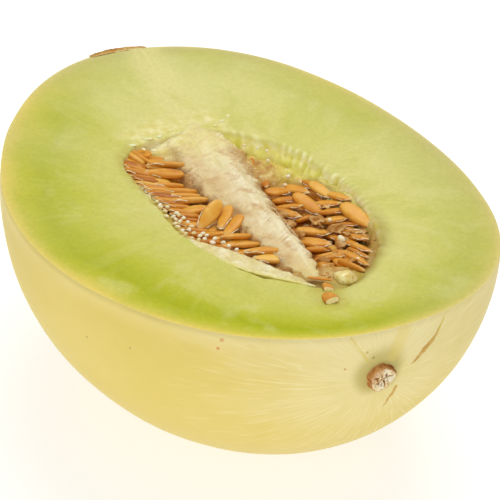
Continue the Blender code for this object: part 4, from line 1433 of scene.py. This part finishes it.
# ---------------------------------------------------------------------------
# Things the knife dragged to the stem end of the bowl: cut seeds left lying on the
# flesh, and a lump of clear yellow-green jelly on the bowl's edge.
# ---------------------------------------------------------------------------
def cut_seed(name, pose, kept=0.5):
    """A seed with its pointed part sliced off square, showing the cream kernel."""
    half = make_seed(name, 28, 40)
    x, y, z = raw_points(half).T / MM
    along = x / SEED_LENGTH + 0.5
    gone = np.clip((1.0 - kept - along) / (1.0 - kept), 0.0, 1.0)
    at_cut = seed_outline(np.array([1.0 - kept]))[0] / np.maximum(0.05, seed_outline(along))
    shrink = np.where(gone > 0.0, at_cut * np.clip(1.06 - 1.06 * gone, 0.0, 1.0), 1.0)
    y, z = y * shrink, z * shrink
    x = np.where(gone > 0.0, (0.5 - kept) * SEED_LENGTH + 0.12 * np.sin(5.0 * y), x)
    put_points(half, np.stack([x, y, z], 1) * MM)
    point_values(half, cut=smooth(0.04, 0.20, gone), tone=np.full(len(x), 0.5))
    half.data.transform(pose)
    return half


loose = [cut_seed("cut_seed_half", seed_pose(68.9, -7.2, 0.80, 172, -13, -12, 0.95, 0.95), 0.5),
         cut_seed("cut_seed_chip", seed_pose(63.0, -5.0, 0.30, 160, -12, 14, 0.66, 1.1), 0.55),
         cut_seed("cut_seed_flake", seed_pose(57.6, -4.0, -0.1, 236, -2, 20, 0.72, 0.55), 0.8)]
loose_seeds = joined(loose, "loose_cut_seeds")
finish_piece(loose_seeds, seed_look, "seed")

JELLY_LENGTH, JELLY_WIDTH, JELLY_HEIGHT = 6.4, 5.2, 4.0

jelly = new_primitive(bpy.ops.mesh.primitive_uv_sphere_add, "jelly_lump", segments=72, ring_count=48,
                      radius=1.0 * MM, location=at(0.0, 0.0))
x, y, z = read_points(jelly).T
shape = 1.0 + 0.16 * lumps(x, y, z, 0.9, 3.0) + 0.07 * lumps(x, y, z, 0.35, 6.0)
x, y, z = x * shape * JELLY_LENGTH / 2.0, y * shape * JELLY_WIDTH / 2.0, z * shape * JELLY_HEIGHT / 2.0
heading = math.radians(68.0)
write_points(jelly, np.stack([58.0 + x * math.cos(heading) - y * math.sin(heading),
                              3.2 + x * math.sin(heading) + y * math.cos(heading), z - 1.2], 1))


def jelly_material():
    material, tree, place = new_material("clear_green_jelly", Subsurface_Weight=0.6,
                                         Subsurface_Scale=0.003, Subsurface_Radius=(1.0, 0.9, 0.4),
                                         Specular_IOR_Level=0.5, Roughness=0.2,
                                         Coat_Weight=0.3, Coat_Roughness=0.08)
    patches, _ = mottle(tree, place, 0.003, 0.001)
    cloud = node(tree, "TexNoise", {"Vector": place, "Scale": 500.0}).outputs["Color"]
    bent = vectors(tree, "ADD", place, vectors(tree, "SCALE", cloud, Scale=0.0012))
    crackle = node(tree, "TexVoronoi", {"Vector": bent, "Scale": 620.0},
                   feature="DISTANCE_TO_EDGE").outputs["Distance"]
    tint = ramp(tree, patches, (0.34, 204, 168, 72), (0.5, 222, 198, 106), (0.66, 240, 228, 160))
    tint = washed(tree, tint, (240, 228, 176), crackle, 0.20, 0.02, 0.4)
    return dressed(material, tint, crackle, 0.4, 0.0004)


finish_piece(jelly, jelly_material(), "pith")

# ---------------------------------------------------------------------------
# Stem scar. The dry corky stub where the fruit broke from the vine: a lobed cream
# face split by dark cracks, on a short brown neck sunk in the rind.
# ---------------------------------------------------------------------------
STEM_SEGMENTS, STEM_RINGS = 144, 84
STEM_CENTRE = np.array([84.7, 0.4, -14.9])
STEM_OUT = np.array([math.cos(AXIS_TILT), 0.0, -math.sin(AXIS_TILT)])
STEM_ACROSS = np.array([0.0, 1.0, 0.0])
STEM_UP = np.cross(STEM_OUT, STEM_ACROSS)
# From the middle of the face over its rim, down the neck and in to the root:
# share of the way, radius, height out of the rind
STEM_PROFILE = np.array((
    (0.00, 0.0, 1.45), (0.18, 1.5, 1.50), (0.34, 2.7, 1.55), (0.42, 3.3, 1.52), (0.47, 3.70, 1.32),
    (0.51, 3.90, 1.00), (0.56, 3.90, 0.60), (0.62, 3.85, 0.20), (0.70, 4.05, -0.25),
    (0.77, 4.3, -0.75), (0.85, 3.8, -1.40), (1.00, 0.0, -1.60)))
STEM_CRACKS = (0.35, 1.25, 2.05, 2.75, 3.60, 4.45, 5.15, 5.80)      # round the face, in radians
STEM_SLIT = math.radians(46.0)          # the way its long middle slit runs

stem, share, turn = round_lump("stem_stub", STEM_SEGMENTS, STEM_RINGS)
radius = np.interp(share, STEM_PROFILE[:, 0], STEM_PROFILE[:, 1])
height = np.interp(share, STEM_PROFILE[:, 0], STEM_PROFILE[:, 2])
u, v = np.cos(turn), np.sin(turn)
outline = 1.0 + 0.05 * np.sin(3.0 * turn + 1.0) + 0.03 * np.sin(5.0 * turn) + 0.025 * np.sin(9.0 * turn)
on_face = smooth(0.50, 0.40, share)
pit = np.zeros(len(share))
for k, crack in enumerate(STEM_CRACKS):
    bent = crack + 0.10 * np.sin(radius * 1.7 + k)
    gap = np.abs((turn - bent + math.pi) % (2.0 * math.pi) - math.pi) * radius
    width = 0.16 + 0.10 * math.sin(2.3 * k + 1.0)
    inner = 0.3 + 0.9 * (k % 2)
    reach = smooth(inner, inner + 0.4, radius) * smooth(3.3 - (k % 3) * 0.5, 2.5 - (k % 3) * 0.5, radius)
    pit = np.maximum(pit, smooth(width + 0.14, width * 0.4, gap) * reach)
along_slit = radius * np.cos(turn - STEM_SLIT)
off_slit = np.abs(radius * np.sin(turn - STEM_SLIT) + 0.25 * np.sin(along_slit * 2.2))
slit = smooth(0.45, 0.12, off_slit) * smooth(2.3, 1.4, np.abs(along_slit))
pit = np.maximum(pit, slit) * on_face
bumps = lumps(radius * u, radius * v, height, 1.25, 51.0)
grit = lumps(radius * u, radius * v, height, 0.5, 53.0)
pit = np.clip(pit + on_face * smooth(0.22, 0.42, grit) * smooth(3.5, 2.8, radius), 0.0, 1.0)
height = height - 0.8 * pit + (0.30 * bumps + 0.12 * grit) * smooth(0.8, 0.5, share)
radius = radius * outline + 0.16 * bumps * smooth(0.4, 0.5, share)
places = (STEM_CENTRE + np.outer(radius * u, STEM_ACROSS) + np.outer(radius * v, STEM_UP)
          + np.outer(height, STEM_OUT))
write_points(stem, places)
point_values(stem, pit=pit, neck=1.0 - on_face)


def stem_material():
    material, tree, place = new_material("dry_stem_cork", Roughness=0.75, Specular_IOR_Level=0.2)
    patches, grain = mottle(tree, place, 0.0028, 0.0006)
    face = ramp(tree, patches, (0.34, 214, 168, 106), (0.45, 238, 214, 162), (0.58, 247, 234, 200))
    # The side towards the near half is browner than the side towards the far half.
    _, across, up = parts(tree, moved(tree, place, at(*STEM_CENTRE)))
    near = stirred(tree, maths(tree, "MULTIPLY_ADD", up, -0.8, across), patches, 0.0015)
    face = washed(tree, face, (206, 152, 96), near, -0.0010, -0.0042, 0.8)
    neck = ramp(tree, patches, (0.35, 150, 92, 40), (0.5, 182, 120, 60), (0.65, 208, 154, 92))
    tint = washed(tree, face, neck, attribute(tree, "neck"), 0.25, 0.8)
    tint = washed(tree, tint, (168, 104, 48), attribute(tree, "pit"), 0.15, 0.8)
    return dressed(material, tint, grain, 0.4, 0.0003)


finish_piece(stem, stem_material(), "cork", "stem_scar")

# ---------------------------------------------------------------------------
# Blossom scar. A low brown corky cap where the flower dropped off, halved by the
# same cut as the melon, so its thin edge shows along the rim.
# ---------------------------------------------------------------------------
BLOSSOM_CENTRE = np.array([-84.7, -2.4, -1.4])
BLOSSOM_SEGMENTS, BLOSSOM_RINGS = 120, 64
BLOSSOM_RADIUS = 9.8
BLOSSOM_PROUD = 1.75
BLOSSOM_ROOT = 0.9

blossom, share, turn = round_lump("blossom_cork", BLOSSOM_SEGMENTS, BLOSSOM_RINGS)
ragged = 1.0 + 0.06 * np.sin(3.0 * turn + 0.6) + 0.04 * np.sin(7.0 * turn + 1.0) + 0.03 * np.sin(15.0 * turn)
out_share = np.where(share < 0.5, share * 2.0, 2.0 - 2.0 * share)
reach = BLOSSOM_RADIUS * ragged * np.sin(out_share * math.pi / 2.0)
lip_height = np.cos(out_share * math.pi / 2.0) ** 0.5
a, b = reach * np.cos(turn), reach * np.sin(turn)
ways = unit(BLOSSOM_CENTRE + np.stack([0.0 * a, a, b], 1) - BOWL_CENTRE)
crust = 0.22 * lumps(a, b, 0.0 * a, 2.4, 61.0) + 0.16 * lumps(a, b, 0.0 * a, 0.9, 63.0)
proud = np.where(share < 0.5, (BLOSSOM_PROUD + crust) * lip_height, -BLOSSOM_ROOT * lip_height)
write_points(blossom, rind_places(ways) + ways * proud[:, None])
point_values(blossom, out=out_share)
only(blossom)
bpy.ops.object.mode_set(mode="EDIT")
bpy.ops.mesh.select_all(action="SELECT")
bpy.ops.mesh.bisect(plane_co=at(0.0, 0.0, -0.03), plane_no=(0.0, 0.0, 1.0), clear_outer=True,
                    use_fill=True)
bpy.ops.object.mode_set(mode="OBJECT")


def blossom_material():
    material, tree, place = new_material("blossom_cork", Roughness=0.7, Specular_IOR_Level=0.2)
    patches, grain = mottle(tree, place, 0.004, 0.0009)
    tint = ramp(tree, patches, (0.34, 180, 122, 46), (0.5, 200, 150, 74), (0.66, 216, 178, 108))
    tint = washed(tree, tint, (160, 104, 40), grain, 0.55, 0.68, 0.5)
    tint = washed(tree, tint, (210, 190, 110), attribute(tree, "out"), 0.86, 1.0, 0.6)
    return dressed(material, tint, grain, 0.6, 0.0004)


finish_piece(blossom, blossom_material(), "cork", "blossom_scar")

# ---------------------------------------------------------------------------
# Healed cracks. Two splits in the rind by the stem, closed with tan cork: a long
# one that climbs to the rim, and a short one below the stub.
# ---------------------------------------------------------------------------
# Points along each crack on the rind, then its half width at each, in millimetres
CRACKS = (
    ("long_crack",
     ((82.4, 19.7, -1.6), (82.8, 18.6, -3.8), (83.2, 17.2, -6.4), (83.6, 15.4, -8.7),
      (83.9, 13.7, -10.3), (84.1, 11.9, -12.0), (84.2, 10.0, -14.0)),
     (0.14, 0.26, 0.42, 0.72, 0.84, 0.50, 0.08)),
    ("short_crack",
     ((83.8, 6.8, -20.2), (83.4, 6.1, -22.4), (82.9, 5.2, -24.9), (82.1, 4.2, -27.8)),
     (0.30, 0.52, 0.34, 0.06)))
CRACK_RINGS, CRACK_SEGMENTS = 110, 24
CRACK_PROUD = 0.16
CRACK_ROOT = 0.7


def healed_crack(name, spots, half_widths):
    """A long flat spindle of cork laid along the rind, with a furrow down its middle."""
    crack, share, way_round = lying_lump(name, CRACK_RINGS, CRACK_SEGMENTS)
    marks = np.linspace(0.0, 1.0, len(spots))
    line = np.stack([np.interp(share, marks, column) for column in np.array(spots).T], 1)
    ahead = np.stack([np.interp(np.clip(share + 0.02, 0.0, 1.0), marks, column)
                      - np.interp(np.clip(share - 0.02, 0.0, 1.0), marks, column)
                      for column in np.array(spots).T], 1)
    ways = unit(line - BOWL_CENTRE)
    aside = unit(np.cross(ahead, ways))
    width = np.interp(share, marks, half_widths) * np.minimum(1.0, 30.0 * share * (1.0 - share))
    width = width * (1.0 + 0.12 * np.sin(share * 31.0) + 0.10 * np.sin(share * 77.0))
    across = np.sin(way_round * math.pi)
    up = np.cos(way_round * math.pi)
    drift = 0.12 * np.sin(share * 13.0) + 0.04 * np.sin(share * 53.0)
    furrow = 0.12 * np.exp(-(across / 0.35) ** 2)
    lift = np.where(up > 0.0, (CRACK_PROUD - furrow) * up, CRACK_ROOT * up) * np.minimum(1.0, width / 0.3)
    spots_on_rind = line + aside * (across * width + drift * np.minimum(1.0, width / 0.3))[:, None]
    ways = unit(spots_on_rind - BOWL_CENTRE)
    write_points(crack, rind_places(ways) + ways * lift[:, None])
    point_values(crack, across=np.abs(across), height_up=share)
    return crack


cracks = joined([healed_crack(*crack) for crack in CRACKS], "healed_cracks")


def crack_material():
    material, tree, place = new_material("crack_cork", Roughness=0.7, Specular_IOR_Level=0.2)
    patches, grain = mottle(tree, place, 0.002, 0.0006)
    middle = ramp(tree, patches, (0.36, 200, 160, 72), (0.5, 214, 178, 92), (0.64, 226, 196, 118))
    tint = washed(tree, middle, (214, 156, 84), attribute(tree, "across"), 0.45, 0.85, 0.8)
    _, _, height = parts(tree, moved(tree, place))
    tint = washed(tree, tint, (222, 200, 96), height, -0.0075, -0.0030, 0.9)
    return dressed(material, tint, grain, 0.5, 0.0003)


finish_piece(cracks, crack_material(), "cork")

# ---------------------------------------------------------------------------
# Table, light and camera: a white tabletop under soft light from all round.
# ---------------------------------------------------------------------------
table = new_primitive(bpy.ops.mesh.primitive_plane_add, "tabletop", size=4.0, location=(0.0, 0.0, -0.0002))
WHITE = (1.0, 1.0, 1.0, 1.0)
table_look, _, _ = new_material("tabletop_white", Roughness=0.6, Base_Color=(0.50, 0.50, 0.50, 1.0),
                                Emission_Color=WHITE, Emission_Strength=0.62)
table.data.materials.append(table_look)

world = bpy.data.worlds.new("soft_white_room")
world.use_nodes = True
world.node_tree.nodes["Background"].inputs["Color"].default_value = WHITE
world.node_tree.nodes["Background"].inputs["Strength"].default_value = 0.50
bpy.context.scene.world = world


def soft_box(name, place, aim, size, watts):
    light = bpy.data.lights.new(name, "AREA")
    light.shape = "DISK"
    light.size = size
    light.energy = watts
    lamp = bpy.data.objects.new(name, light)
    bpy.context.scene.collection.objects.link(lamp)
    lamp.location = place
    lamp.rotation_euler = (Vector(place) - Vector(aim)).to_track_quat("Z", "Y").to_euler()


soft_box("overhead_softbox", (-0.3, 0.25, 1.1), (0.0, 0.0, 0.05), 0.9, 7.0)
soft_box("front_softbox", (0.9, -0.75, 0.6), (0.02, 0.0, 0.04), 0.8, 3.3)

AIM = at(38.25, -15.9)
ELEVATION, AZIMUTH, ROLL = math.radians(32.0), math.radians(-30.0), math.radians(5.6)
DISTANCE, FOCAL_LENGTH = 0.510, 134.6
back = Vector((math.cos(AZIMUTH) * math.cos(ELEVATION), math.sin(AZIMUTH) * math.cos(ELEVATION),
               math.sin(ELEVATION)))
level = Vector((0.0, 0.0, 1.0)).cross(back).normalized()
upright = back.cross(level)
right = math.cos(ROLL) * level + math.sin(ROLL) * upright
above = math.cos(ROLL) * upright - math.sin(ROLL) * level
lens = bpy.data.cameras.new("camera")
lens.sensor_width = 36.0
lens.lens = FOCAL_LENGTH
lens.clip_start = 0.01
camera = bpy.data.objects.new("camera", lens)
turned = Matrix((right, above, back)).transposed().to_4x4()
camera.matrix_world = Matrix.Translation(AIM + back * DISTANCE) @ turned
bpy.context.scene.collection.objects.link(camera)
bpy.context.scene.camera = camera
bpy.context.scene.view_settings.view_transform = "Standard"
bpy.context.scene.view_settings.look = "None"
